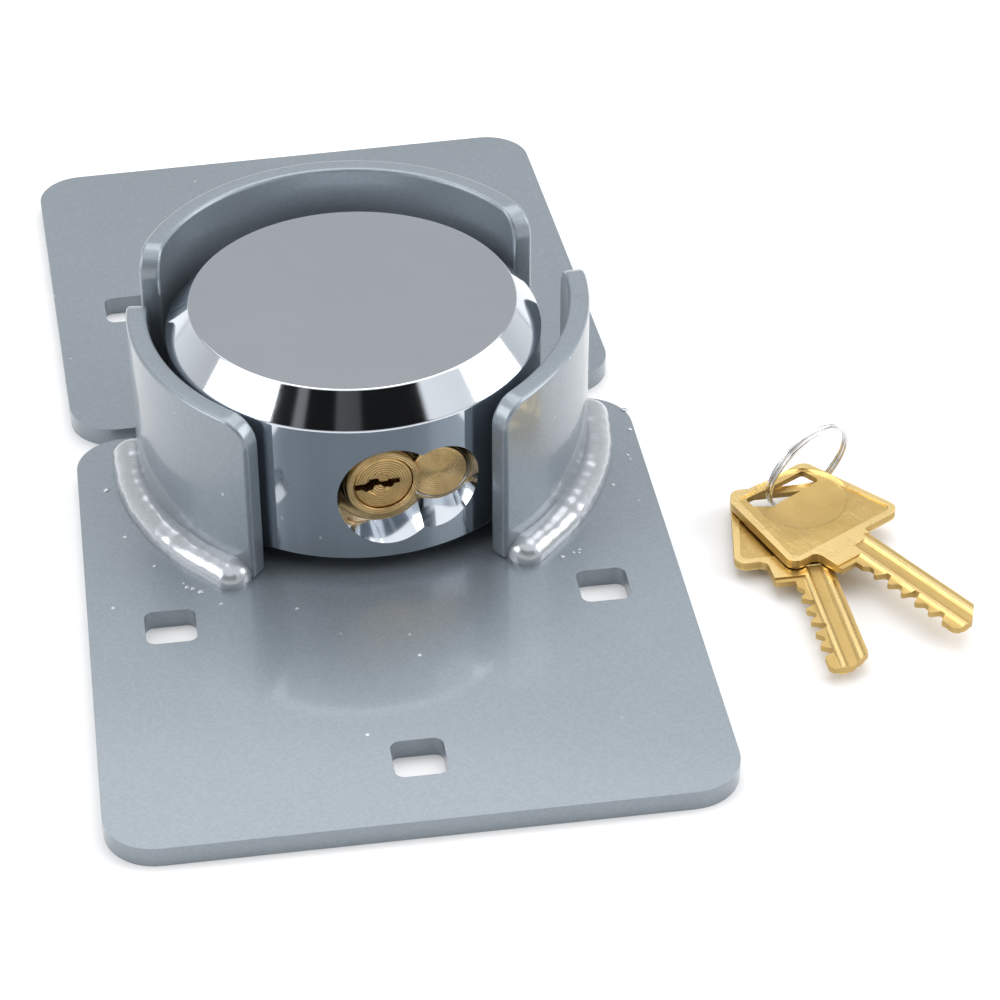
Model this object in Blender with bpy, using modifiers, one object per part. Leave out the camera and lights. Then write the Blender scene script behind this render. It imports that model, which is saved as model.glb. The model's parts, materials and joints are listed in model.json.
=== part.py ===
"""Two-plate welded hasp with a round hidden-bolt padlock and its two keys."""
import bpy
import bmesh
import math
from mathutils import Matrix, Vector

MM = 0.001

# Plates (front plate centred on the origin, back faces on z = 0)
PLATE_WIDTH = 112.8 * MM
FRONT_LENGTH = 122.1 * MM
REAR_LENGTH = 102.4 * MM
PLATE_THICK = 4.0 * MM
PLATE_CORNER = 9.0 * MM
HOLE_SIZE = 9.6 * MM
HOLE_CORNER = 1.8 * MM
HOLE_SIDE_INSET = 15.3 * MM
HOLE_SEAM_INSET = 61.9 * MM
REAR_HOLE_INSET = 44.6 * MM
END_HOLE_INSET = 16.6 * MM
SEAM_GAP = 5.4 * MM
REAR_SKEW = math.radians(2.3)
REAR_OFFSET_X = 1.1 * MM

# Padlock body
LOCK_RADIUS = 36.5 * MM
LOCK_HEIGHT = 36.4 * MM
LOCK_LIFT = 3.2 * MM
LOCK_YAW = math.radians(7.0)
LOCK_X = -0.5 * MM
LOCK_SEAM_INSET = 15.6 * MM
TOP_CHAMFER_IN = 4.87 * MM
TOP_CHAMFER_DOWN = 6.15 * MM
BOTTOM_CHAMFER = 1.0 * MM
COVER_RADIUS = 33.0 * MM
COVER_THICK = 3.1 * MM
SLOT_HALF_WIDTH = 7.0 * MM
SLOT_FRONT = 8.5 * MM
SLOT_BACK = 30.5 * MM
COVER_SCREW_RADIUS = 1.4 * MM
COVER_SCREW_HEAD = 2.8 * MM
COVER_SCREW_LENGTH = 9.0 * MM
COVER_SCREW_CIRCLE = 29.0 * MM
COVER_SCREW_ANGLES = (50.0, 130.0, 230.0, 310.0)

# Guards
GUARD_THICK = 4.1 * MM
FRONT_GUARD_HEIGHT = 35.1 * MM
REAR_GUARD_HEIGHT = 43.7 * MM
GUARD_CORNER = 5.5 * MM
LEFT_GUARD = {"x": 7.2, "y": 5.4, "radius": 46.7, "start": 169.9, "end": 232.2}
RIGHT_GUARD = {"x": -8.4, "y": 9.0, "radius": 51.6, "start": -54.0, "end": 5.2}
REAR_GUARD = {"x": -0.5, "y": 4.3, "radius": 37.0, "start": 19.9, "end": 165.8}
WELD_WIDTH = 5.0 * MM
WELD_HEIGHT = 4.0 * MM
WELD_END_TRIM = math.radians(2.0)
WELD_ROUND = 1.5 * MM

# Staples and the bolt that joins them
STAPLE_THICK = 4.0 * MM
STAPLE_RADIUS = 11.0 * MM
STAPLE_FRONT_X = -3.4 * MM
STAPLE_REAR_X = 1.2 * MM
STAPLE_FOOT = 6.5 * MM
STAPLE_FOOT_INSET = 2.0 * MM
EYE_RADIUS = 6.75 * MM
EYE_Y = 4.0 * MM
EYE_Z = 20.0 * MM
BOLT_RADIUS = 5.5 * MM
BOLT_LENGTH = 22.2 * MM
BOLT_STROKE = 18.06 * MM
ARM_WIDTH = 4.6 * MM
RACK_WIDTH = 4.5 * MM
RACK_BACK = 4.2 * MM

# Key cylinder
PINION_PITCH = 5.75 * MM
PINION_TEETH = 10
PINION_WIDTH = 4.4 * MM
TOOTH_SLOPE = math.radians(25.0)
TOOTH_BACKLASH = 0.4 * MM
PLUG_X = -2.2 * MM
PLUG_Z = 21.8 * MM
PLUG_RADIUS = 5.6 * MM
SHELL_RADIUS = 7.1 * MM
SHELL_FACE = 32.0 * MM
SHELL_LENGTH = 14.2 * MM
PIN_LOBE_RADIUS = 5.6 * MM
PIN_LOBE_PITCH = 10.9 * MM
PIN_LOBE_SETBACK = 1.0 * MM
PLUG_SETBACK = 0.3 * MM
TAIL_RADIUS = 2.0 * MM
KEYWAY_HEIGHT = 2.3 * MM
KEYWAY_DEPTH = 8.9 * MM
PIN_COUNT = 4
PIN_RADIUS = 1.25 * MM
PIN_PITCH = 3.0 * MM
PIN_FIRST = 2.6 * MM
DRIVER_LENGTH = 3.4 * MM
SPRING_LENGTH = 5.0 * MM
SPRING_WIRE = 0.2 * MM
SPRING_TURNS = 4
RECESS_FLOOR = 30.6 * MM
RECESS_FLARE = 3.1 * MM

# Keys and ring
KEY_THICK = 1.9 * MM
BOW_LENGTH = 23.3 * MM
BOW_NARROW = 20.2 * MM
BOW_WIDE = 29.0 * MM
BOW_CORNER = 2.0 * MM
BLADE_LENGTH = 33.2 * MM
BLADE_LEFT = -4.2 * MM
BLADE_RIGHT = 3.9 * MM
COLLAR_LENGTH = 6.6 * MM
COLLAR_LEFT = -7.9 * MM
CUT_DEPTHS = (1.0, 2.0, 1.4, 2.4, 1.2, 1.8)
UPPER_KEY = (78.22 * MM, -21.36 * MM, math.radians(29.95))
LOWER_KEY = (81.20 * MM, -20.67 * MM, math.radians(0.82))
KEY_FLOOR = 2.25 * MM
KEY_SWING = (79.5 * MM, -27.0 * MM)
RING_CENTER = (85.74 * MM, -23.45 * MM)
RING_YAW = math.radians(30.6)
RING_LEAN = math.radians(13.9)
RING_RADIUS = 9.9 * MM
RING_WIRE = 0.4 * MM
RING_PITCH = 0.9 * MM
RING_FLOOR = 0.24 * MM
RING_JOG = math.radians(50)
RING_END_GAP = math.radians(4)
RING_SEAM = math.radians(200)

GAP = 0.3 * MM
PIN_GAP = 0.15 * MM
STEP = 0.25 * MM

LOCK_Y = FRONT_LENGTH / 2 - LOCK_SEAM_INSET
LOCK_BOTTOM = PLATE_THICK + LOCK_LIFT
LOCK_TOP = LOCK_BOTTOM + LOCK_HEIGHT
SLOT_TOP = EYE_Z + STAPLE_RADIUS + GAP
COVER_TOP = LOCK_BOTTOM + COVER_THICK + 0.2 * MM
PINION_MODULE = 2 * PINION_PITCH / PINION_TEETH
RACK_LINE = PLUG_Z + PINION_PITCH
PLUG_FACE = SHELL_FACE - PLUG_SETBACK
SHELL_BACK = SHELL_FACE - SHELL_LENGTH
PINION_FRONT = SHELL_BACK - 1.6 * MM
PINION_BACK = PINION_FRONT - PINION_WIDTH
BOLT_RIGHT = -SLOT_HALF_WIDTH - 0.6 * MM
BOLT_LEFT = BOLT_RIGHT - BOLT_LENGTH
POCKET_LEFT = BOLT_LEFT - 0.6 * MM
POCKET_TOP = RACK_LINE + RACK_BACK + 0.5 * MM
STAPLE_TOP = EYE_Z + STAPLE_RADIUS

PLATE_PAINT = ((0.40, 0.45, 0.49), 0.45, 0.35)
CHROME = ((0.62, 0.64, 0.66), 0.08, 1.0)
BRASS = ((0.72, 0.50, 0.20), 0.28, 1.0)
STEEL = ((0.45, 0.46, 0.48), 0.35, 1.0)

world_lock = Matrix.Translation((LOCK_X, LOCK_Y, 0.0)) @ Matrix.Rotation(LOCK_YAW, 4, "Z")
world_straight = Matrix.Translation((LOCK_X, LOCK_Y, 0.0))
world_rear = Matrix.Translation((LOCK_X, LOCK_Y, 0.0)) @ Matrix.Rotation(REAR_SKEW, 4, "Z")


def clear_scene():
    for item in list(bpy.data.objects):
        bpy.data.objects.remove(item, do_unlink=True)


def make_collection(name):
    group = bpy.data.collections.new(name)
    bpy.context.scene.collection.children.link(group)
    return group


def make_material(name, look):
    color, roughness, metallic = look
    material = bpy.data.materials.new(name)
    material.use_nodes = True
    shader = material.node_tree.nodes["Principled BSDF"]
    shader.inputs["Base Color"].default_value = (*color, 1.0)
    shader.inputs["Roughness"].default_value = roughness
    shader.inputs["Metallic"].default_value = metallic
    return material


def add_object(name, mesh, group, look=None):
    item = bpy.data.objects.new(name, mesh)
    group.objects.link(item)
    if look:
        mesh.materials.append(make_material(name + "_finish", look))
    else:
        item.hide_render = True
        item.display_type = "WIRE"
    return item


def finish_mesh(name, bm, matrix):
    bmesh.ops.transform(bm, matrix=matrix, verts=bm.verts)
    mesh = bpy.data.meshes.new(name)
    bm.to_mesh(mesh)
    bm.free()
    return mesh


def box_mesh(name, low, high, matrix):
    bm = bmesh.new()
    bmesh.ops.create_cube(bm, size=1.0)
    size = [high[i] - low[i] for i in range(3)]
    middle = [(high[i] + low[i]) / 2 for i in range(3)]
    bmesh.ops.scale(bm, vec=size, verts=bm.verts)
    bmesh.ops.translate(bm, vec=middle, verts=bm.verts)
    return finish_mesh(name, bm, matrix)


def cone_mesh(name, radius_low, radius_high, low, high, matrix, segments=48):
    """A cylinder or cone along local Z, from low to high."""
    bm = bmesh.new()
    bmesh.ops.create_cone(
        bm, cap_ends=True, segments=segments, radius1=radius_low, radius2=radius_high, depth=high - low)
    bmesh.ops.translate(bm, vec=(0, 0, (low + high) / 2), verts=bm.verts)
    return finish_mesh(name, bm, matrix)


def outline_mesh(name, loops, low, high, matrix):
    """A flat outline in local XY with any holes, extruded along local Z from low to high."""
    curve = bpy.data.curves.new(name, "CURVE")
    curve.dimensions = "2D"
    curve.fill_mode = "BOTH"
    curve.extrude = (high - low) / 2
    for points in loops:
        spline = curve.splines.new("POLY")
        spline.points.add(len(points) - 1)
        for target, point in zip(spline.points, points):
            target.co = (point[0], point[1], 0.0, 1.0)
        spline.use_cyclic_u = True
    return solid_from_curve(name, curve, matrix @ Matrix.Translation((0, 0, (low + high) / 2)))


def solid_from_curve(name, curve, matrix):
    """Turns a curve into a welded mesh and removes the curve."""
    holder = bpy.data.objects.new(name + "_curve", curve)
    bpy.context.scene.collection.objects.link(holder)
    bpy.context.view_layer.update()
    graph = bpy.context.evaluated_depsgraph_get()
    mesh = bpy.data.meshes.new_from_object(holder.evaluated_get(graph))
    bpy.data.objects.remove(holder, do_unlink=True)
    bpy.data.curves.remove(curve)
    mesh.name = name
    bm = bmesh.new()
    bm.from_mesh(mesh)
    bmesh.ops.remove_doubles(bm, verts=bm.verts, dist=1e-6)
    bmesh.ops.recalc_face_normals(bm, faces=bm.faces)
    bmesh.ops.transform(bm, matrix=matrix, verts=bm.verts)
    bm.to_mesh(mesh)
    bm.free()
    return mesh


def arc(center, radius, start, end, steps):
    """Points on an arc, angles in radians."""
    points = []
    for i in range(steps + 1):
        angle = start + (end - start) * i / steps
        points.append((center[0] + radius * math.cos(angle), center[1] + radius * math.sin(angle)))
    return points


def rounded_rectangle(low, high, radius, steps=6):
    corners = (
        (high[0] - radius, high[1] - radius, 0.0),
        (low[0] + radius, high[1] - radius, math.pi / 2),
        (low[0] + radius, low[1] + radius, math.pi),
        (high[0] - radius, low[1] + radius, 1.5 * math.pi))
    points = []
    for x, y, start in corners:
        points += arc((x, y), radius, start, start + math.pi / 2, steps)
    return points


def boolean(target, cutter, operation="DIFFERENCE"):
    modifier = target.modifiers.new(operation.lower(), "BOOLEAN")
    modifier.operation = operation
    modifier.solver = "EXACT"
    modifier.object = cutter


def smooth(item, angle=35.0):
    item.data.shade_smooth()
    item.data.set_sharp_from_angle(angle=math.radians(angle))


def axis_matrix(origin, direction, base):
    """Local Z along direction (in the base frame), local X kept level."""
    z_axis = Vector(direction).normalized()
    x_axis = Vector((0, 0, 1)).cross(z_axis)
    if x_axis.length < 1e-6:
        x_axis = Vector((1, 0, 0))
    x_axis.normalize()
    y_axis = z_axis.cross(x_axis)
    turn = Matrix((x_axis, y_axis, z_axis)).transposed().to_4x4()
    return base @ Matrix.Translation(origin) @ turn


def build_plate(name, low, high, holes, matrix):
    loops = [rounded_rectangle(low, high, PLATE_CORNER)]
    half = HOLE_SIZE / 2
    for x, y in holes:
        loops.append(rounded_rectangle((x - half, y - half), (x + half, y + half), HOLE_CORNER, 4))
    smooth(add_object(name, outline_mesh(name, loops, 0.0, PLATE_THICK, matrix), parts, PLATE_PAINT))


def build_plates():
    half = PLATE_WIDTH / 2
    seam = FRONT_LENGTH / 2
    side_x = half - HOLE_SIDE_INSET
    side_y = seam - HOLE_SEAM_INSET
    front_holes = ((-side_x, side_y), (side_x, side_y), (0.0, -seam + END_HOLE_INSET))
    build_plate("front_plate", (-half, -seam), (half, seam), front_holes, Matrix.Identity(4))
    near = LOCK_SEAM_INSET + SEAM_GAP
    far = near + REAR_LENGTH
    left = REAR_OFFSET_X - half
    right = REAR_OFFSET_X + half
    rear_y = near + REAR_HOLE_INSET
    rear_holes = (
        (left + HOLE_SIDE_INSET, rear_y), (right - HOLE_SIDE_INSET, rear_y),
        (REAR_OFFSET_X, far - END_HOLE_INSET))
    build_plate("rear_plate", (left, near), (right, far), rear_holes, world_rear)


def guard_outline(shape, steps=22):
    center = (shape["x"] * MM, shape["y"] * MM)
    start = math.radians(shape["start"])
    end = math.radians(shape["end"])
    inner = shape["radius"] * MM
    outer = inner + GUARD_THICK
    return arc(center, outer, start, end, steps) + arc(center, inner, end, start, steps)


def corner_cutter(name, shape, angle, side, top):
    """Takes the square top corner at one end of a guard down to a round one."""
    center = Vector((shape["x"] * MM, shape["y"] * MM, 0.0))
    middle = shape["radius"] * MM + GUARD_THICK / 2
    radial = Vector((math.cos(angle), math.sin(angle), 0.0))
    along = Vector((-radial.y, radial.x, 0.0)) * side
    reach = GUARD_CORNER + 2 * MM
    round_center = (-GUARD_CORNER, -GUARD_CORNER)
    points = arc(round_center, GUARD_CORNER, 0.0, math.pi / 2, 8)
    points += [(-GUARD_CORNER, 2 * MM), (2 * MM, 2 * MM), (2 * MM, -GUARD_CORNER)]
    up = Vector((0, 0, 1))
    turn = Matrix((along, up, along.cross(up))).transposed().to_4x4()
    place = world_straight @ Matrix.Translation(center + radial * middle + up * top) @ turn
    mesh = outline_mesh(name, [points], -reach, reach, place)
    return add_object(name, mesh, cutters)


def build_guard(name, shape, height):
    low = PLATE_THICK + GAP
    top = PLATE_THICK + height
    mesh = outline_mesh(name, [guard_outline(shape)], low, top, world_straight)
    guard = add_object(name, mesh, parts, PLATE_PAINT)
    start = math.radians(shape["start"])
    end = math.radians(shape["end"])
    boolean(guard, corner_cutter(name + "_corner_a", shape, start, -1, top))
    boolean(guard, corner_cutter(name + "_corner_b", shape, end, 1, top))
    return guard


def build_weld(name, shape, trim, trim_end):
    """A fillet bead along the outside foot of a guard, with rounded ends."""
    center = (shape["x"] * MM, shape["y"] * MM)
    start = math.radians(shape["start"]) + trim
    end = math.radians(shape["end"]) - trim_end
    inner = shape["radius"] * MM + GUARD_THICK + GAP
    middle = inner + WELD_WIDTH / 2
    tip_start = (center[0] + middle * math.cos(start), center[1] + middle * math.sin(start))
    tip_end = (center[0] + middle * math.cos(end), center[1] + middle * math.sin(end))
    points = arc(center, inner + WELD_WIDTH, start, end, 18)
    points += arc(tip_end, WELD_WIDTH / 2, end, end + math.pi, 6)[1:-1]
    points += arc(center, inner, end, start, 18)
    points += arc(tip_start, WELD_WIDTH / 2, start + math.pi, start + 2 * math.pi, 6)[1:-1]
    low = PLATE_THICK + GAP
    mesh = outline_mesh(name, [points], low, low + WELD_HEIGHT, world_straight)
    weld = add_object(name, mesh, parts, PLATE_PAINT)
    bevel = weld.modifiers.new("round", "BEVEL")
    bevel.width = WELD_ROUND
    bevel.segments = 2
    bevel.limit_method = "ANGLE"
    bevel.angle_limit = math.radians(60)
    smooth(weld)


def build_guards():
    build_guard("guard_left", LEFT_GUARD, FRONT_GUARD_HEIGHT)
    build_guard("guard_right", RIGHT_GUARD, FRONT_GUARD_HEIGHT)
    build_guard("guard_rear", REAR_GUARD, REAR_GUARD_HEIGHT)
    build_weld("weld_left", LEFT_GUARD, WELD_END_TRIM, WELD_END_TRIM)
    build_weld("weld_right", RIGHT_GUARD, WELD_END_TRIM, WELD_END_TRIM)
    build_weld("weld_rear", REAR_GUARD, math.radians(13), math.radians(13))


def staple_matrix(base):
    """Outline X runs along the plates' length, outline Y upwards, depth across the plates."""
    turn = Matrix(((0, 0, 1, 0), (1, 0, 0, 0), (0, 1, 0, 0), (0, 0, 0, 1)))
    return base @ turn


def build_staples():
    foot = PLATE_THICK + GAP
    eye = (EYE_Y, EYE_Z)
    half = STAPLE_THICK / 2
    front = [(EYE_Y - STAPLE_RADIUS, foot), (EYE_Y + STAPLE_RADIUS, foot)]
    front += arc(eye, STAPLE_RADIUS, 0.0, math.pi, 16)
    back_foot = LOCK_SEAM_INSET + SEAM_GAP + STAPLE_FOOT_INSET
    back_end = back_foot + STAPLE_FOOT
    rear = [(back_foot, foot), (back_end, foot)]
    rear += arc((back_end - STAPLE_FOOT, STAPLE_TOP - STAPLE_FOOT), STAPLE_FOOT, 0.0, math.pi / 2, 6)
    rear += arc(eye, STAPLE_RADIUS, math.pi / 2, 1.5 * math.pi, 16)
    rear += [(back_foot, EYE_Z - STAPLE_RADIUS)]
    for name, points, x, base in (
            ("staple_front", front, STAPLE_FRONT_X, world_straight),
            ("staple_rear", rear, STAPLE_REAR_X, world_rear)):
        place = staple_matrix(base)
        hole = arc(eye, EYE_RADIUS, 0.0, 2 * math.pi, 32)[:-1]
        mesh = outline_mesh(name, [points, hole], x - half, x + half, place)
        smooth(add_object(name, mesh, parts, STEEL))


def turned(name, profile, matrix, look=None, segments=64):
    """A solid or a cutter turned about local Z from a radius and height profile, top to bottom."""
    mesh = bpy.data.meshes.new(name)
    bm = bmesh.new()
    verts = [bm.verts.new((r, 0.0, z)) for r, z in profile]
    for first, second in zip(verts, verts[1:]):
        bm.edges.new((first, second))
    bm.to_mesh(mesh)
    bm.free()
    item = add_object(name, mesh, parts if look else cutters, look)
    item.matrix_world = matrix
    screw = item.modifiers.new("turn", "SCREW")
    screw.angle = 2 * math.pi
    screw.steps = segments
    screw.render_steps = segments
    screw.use_merge_vertices = True
    screw.merge_threshold = 0.00001
    smooth(item)
    return item


def drill(target, name, radius, low, high, matrix, radius_high=None, segments=32):
    top = radius if radius_high is None else radius_high
    mesh = cone_mesh(name, radius, top, low, high, matrix, segments)
    boolean(target, add_object(name, mesh, cutters))


def cylinder_axis(x, z):
    """Local Z runs out of the key face, local X to the right of the padlock."""
    return axis_matrix((x, 0.0, z), (0, -1, 0), world_lock)


def cut_box(target, name, low, high):
    mesh = box_mesh(name, low, high, world_lock)
    boolean(target, add_object(name, mesh, cutters))


def cover_screw_places():
    places = []
    for angle in COVER_SCREW_ANGLES:
        turn = math.radians(angle)
        places.append((COVER_SCREW_CIRCLE * math.cos(turn), COVER_SCREW_CIRCLE * math.sin(turn)))
    return places


def build_lock_body():
    r = LOCK_RADIUS
    profile = [
        (0.0, LOCK_TOP), (r - TOP_CHAMFER_IN, LOCK_TOP), (r, LOCK_TOP - TOP_CHAMFER_DOWN),
        (r, LOCK_BOTTOM + BOTTOM_CHAMFER), (r - BOTTOM_CHAMFER, LOCK_BOTTOM),
        (COVER_RADIUS + GAP, LOCK_BOTTOM), (COVER_RADIUS + GAP, COVER_TOP), (0.0, COVER_TOP)]
    body = turned("lock_body", profile, world_lock, CHROME, 96)
    low = COVER_TOP - 1 * MM
    cut_box(body, "slot", (-SLOT_HALF_WIDTH, -SLOT_FRONT, low), (SLOT_HALF_WIDTH, SLOT_BACK, SLOT_TOP))
    bolt_high = EYE_Y + BOLT_RADIUS + GAP
    front = -PINION_FRONT - 0.7 * MM
    back = -PINION_BACK + 1.2 * MM
    cut_box(body, "arm_pocket", (POCKET_LEFT, front - 0.1 * MM, low),
            (-SLOT_HALF_WIDTH + GAP, bolt_high, POCKET_TOP))
    cut_box(body, "rack_pocket", (-2 * SLOT_HALF_WIDTH, front, low),
            (PLUG_X + BOLT_STROKE + 4.5 * MM, back, POCKET_TOP + 0.1 * MM))
    socket = axis_matrix((0.0, EYE_Y, EYE_Z), (1, 0, 0), world_lock)
    drill(body, "bolt_socket", BOLT_RADIUS + GAP, 2 * MM, SLOT_HALF_WIDTH + 8 * MM, socket)
    shell_axis = cylinder_axis(PLUG_X, PLUG_Z)
    lobe_axis = cylinder_axis(PLUG_X + PIN_LOBE_PITCH, PLUG_Z)
    drill(body, "shell_bore", SHELL_RADIUS + GAP, SHELL_BACK - 2 * MM, SHELL_FACE, shell_axis, None, 48)
    drill(body, "lobe_bore", PIN_LOBE_RADIUS + GAP, SHELL_BACK - 2 * MM, SHELL_FACE, lobe_axis, None, 48)
    wide = SHELL_RADIUS + GAP + RECESS_FLARE
    drill(body, "recess_left", SHELL_RADIUS + 0.5 * MM, RECESS_FLOOR, LOCK_RADIUS + MM, shell_axis, wide, 48)
    wide = PIN_LOBE_RADIUS + GAP + RECESS_FLARE
    drill(body, "recess_right", PIN_LOBE_RADIUS + 0.5 * MM, RECESS_FLOOR, LOCK_RADIUS + MM, lobe_axis, wide, 48)
    for number, (x, y) in enumerate(cover_screw_places(), 1):
        place = world_lock @ Matrix.Translation((x, y, 0))
        depth = LOCK_BOTTOM + COVER_SCREW_LENGTH + 2 * MM
        drill(body, f"thread_{number}", COVER_SCREW_RADIUS + GAP, low, depth, place, None, 16)
    place = world_lock @ Matrix.Translation((PLUG_X, -(SHELL_FACE + SHELL_BACK) / 2, 0))
    drill(body, "set_screw_hole", 1.8 * MM, low, PLUG_Z - SHELL_RADIUS + MM, place, None, 16)


def build_cover():
    low = LOCK_BOTTOM + 0.2 * MM
    mesh = cone_mesh("base_cover", COVER_RADIUS, COVER_RADIUS, low, COVER_TOP - GAP, world_lock, 64)
    cover = add_object("base_cover", mesh, parts, STEEL)
    cut_box(cover, "cover_slot", (-SLOT_HALF_WIDTH, -SLOT_FRONT, 0.0), (SLOT_HALF_WIDTH, SLOT_BACK, SLOT_TOP))
    head_low = low + 0.1 * MM
    head_depth = COVER_SCREW_HEAD - COVER_SCREW_RADIUS
    for number, (x, y) in enumerate(cover_screw_places(), 1):
        place = world_lock @ Matrix.Translation((x, y, 0))
        hole = COVER_SCREW_RADIUS + GAP
        sink = COVER_SCREW_HEAD + GAP + MM
        profile = [
            (0.0, LOCK_TOP), (hole, LOCK_TOP), (hole, head_low + sink - hole - MM),
            (sink, head_low - MM), (0.0, head_low - MM)]
        boolean(cover, turned(f"cover_hole_{number}", profile, place, None, 16))
        profile = [
            (0.0, head_low + COVER_SCREW_LENGTH), (COVER_SCREW_RADIUS, head_low + COVER_SCREW_LENGTH),
            (COVER_SCREW_RADIUS, head_low + head_depth), (COVER_SCREW_HEAD, head_low), (0.0, head_low)]
        turned(f"cover_screw_{number}", profile, place, STEEL, 16)


def gear_outline(pitch, teeth, slope, backlash):
    """Involute teeth with short tips, so that few teeth still mesh."""
    module = 2 * pitch / teeth
    base = pitch * math.cos(slope)
    tip = pitch + 0.75 * module
    root = pitch - 0.95 * module
    half_tooth = math.pi / (2 * teeth) - backlash / (4 * pitch)
    involute_at_pitch = math.tan(slope) - slope
    flank = []
    for i in range(7):
        radius = base + (tip - base) * i / 6
        pressure = math.acos(min(1.0, base / radius))
        angle = half_tooth + involute_at_pitch - (math.tan(pressure) - pressure)
        flank.append((radius, angle))
    points = []
    for tooth in range(teeth):
        middle = 2 * math.pi * tooth / teeth
        side = [(root, flank[0][1])] + flank
        for radius, angle in side:
            points.append((radius * math.cos(middle - angle), radius * math.sin(middle - angle)))
        for radius, angle in reversed(side):
            points.append((radius * math.cos(middle + angle), radius * math.sin(middle + angle)))
    return points


def rack_outline(left, right, phase, height):
    """A straight rack with its teeth down; Y = 0 is the pitch line."""
    module = PINION_MODULE
    pitch = math.pi * module
    tip = 0.75 * module
    root = 0.95 * module
    quarter = pitch / 4 - TOOTH_BACKLASH / 4
    lean = math.tan(TOOTH_SLOPE)
    points = [(right, height), (left, height), (left, root)]
    first = math.ceil((left - phase) / pitch + 0.5)
    count = math.floor((right - phase) / pitch - 0.5)
    for index in range(first, count + 1):
        middle = phase + index * pitch
        points += [
            (middle - quarter - root * lean, root), (middle - quarter + tip * lean, -tip),
            (middle + quarter - tip * lean, -tip), (middle + quarter + root * lean, root)]
    points.append((right, root))
    return points


def build_bolt():
    bolt_axis = axis_matrix((0.0, EYE_Y, EYE_Z), (1, 0, 0), world_lock)
    mesh = cone_mesh("locking_bolt", BOLT_RADIUS, BOLT_RADIUS, BOLT_LEFT, BOLT_RIGHT, bolt_axis, 32)
    bolt = add_object("locking_bolt", mesh, parts, STEEL)
    arm_top = RACK_LINE + RACK_BACK
    arm_low = RACK_LINE + 0.95 * PINION_MODULE + 0.4 * MM
    rack_front = -PINION_FRONT - 0.05 * MM
    rack_back = rack_front + RACK_WIDTH
    arm_right = BOLT_LEFT + ARM_WIDTH
    post = box_mesh("bolt_post", (BOLT_LEFT + STEP, EYE_Y - 3 * MM, EYE_Z),
                    (arm_right - STEP, EYE_Y + 3 * MM, arm_top - 2 * STEP), world_lock)
    boolean(bolt, add_object("bolt_post", post, cutters), "UNION")
    arm = box_mesh("bolt_arm", (BOLT_LEFT, rack_front + MM, arm_low),
                   (arm_right, EYE_Y + 3 * MM - STEP, arm_top - STEP), world_lock)
    boolean(bolt, add_object("bolt_arm", arm, cutters), "UNION")
    rack_right = PLUG_X + 3.4 * MM
    phase = PLUG_X + math.pi * PINION_MODULE / 2
    points = rack_outline(BOLT_LEFT + STEP, rack_right, phase, RACK_BACK)
    turn = Matrix(((1, 0, 0, 0), (0, 0, -1, 0), (0, 1, 0, 0), (0, 0, 0, 1)))
    place = world_lock @ Matrix.Translation((0, rack_back, RACK_LINE)) @ turn
    rack = outline_mesh("bolt_rack", [points], 0.0, RACK_WIDTH, place)
    boolean(bolt, add_object("bolt_rack", rack, cutters), "UNION")
    side = BOLT_RADIUS
    cradle_mesh = box_mesh("bolt_cradle", (POCKET_LEFT + GAP, EYE_Y - side, COVER_TOP),
                           (BOLT_RIGHT, EYE_Y + side, EYE_Z - MM), world_lock)
    cradle = add_object("bolt_cradle", cradle_mesh, parts, STEEL)
    drill(cradle, "cradle_groove", BOLT_RADIUS + GAP, POCKET_LEFT - MM, BOLT_RIGHT + MM, bolt_axis)


def pin_stations():
    return [-(PLUG_FACE - PIN_FIRST - PIN_PITCH * i) for i in range(PIN_COUNT)]


def pin_axis(y):
    """Local Z runs from the plug's axis towards the pin lobe."""
    return axis_matrix((PLUG_X, y, PLUG_Z), (1, 0, 0), world_lock)


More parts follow.
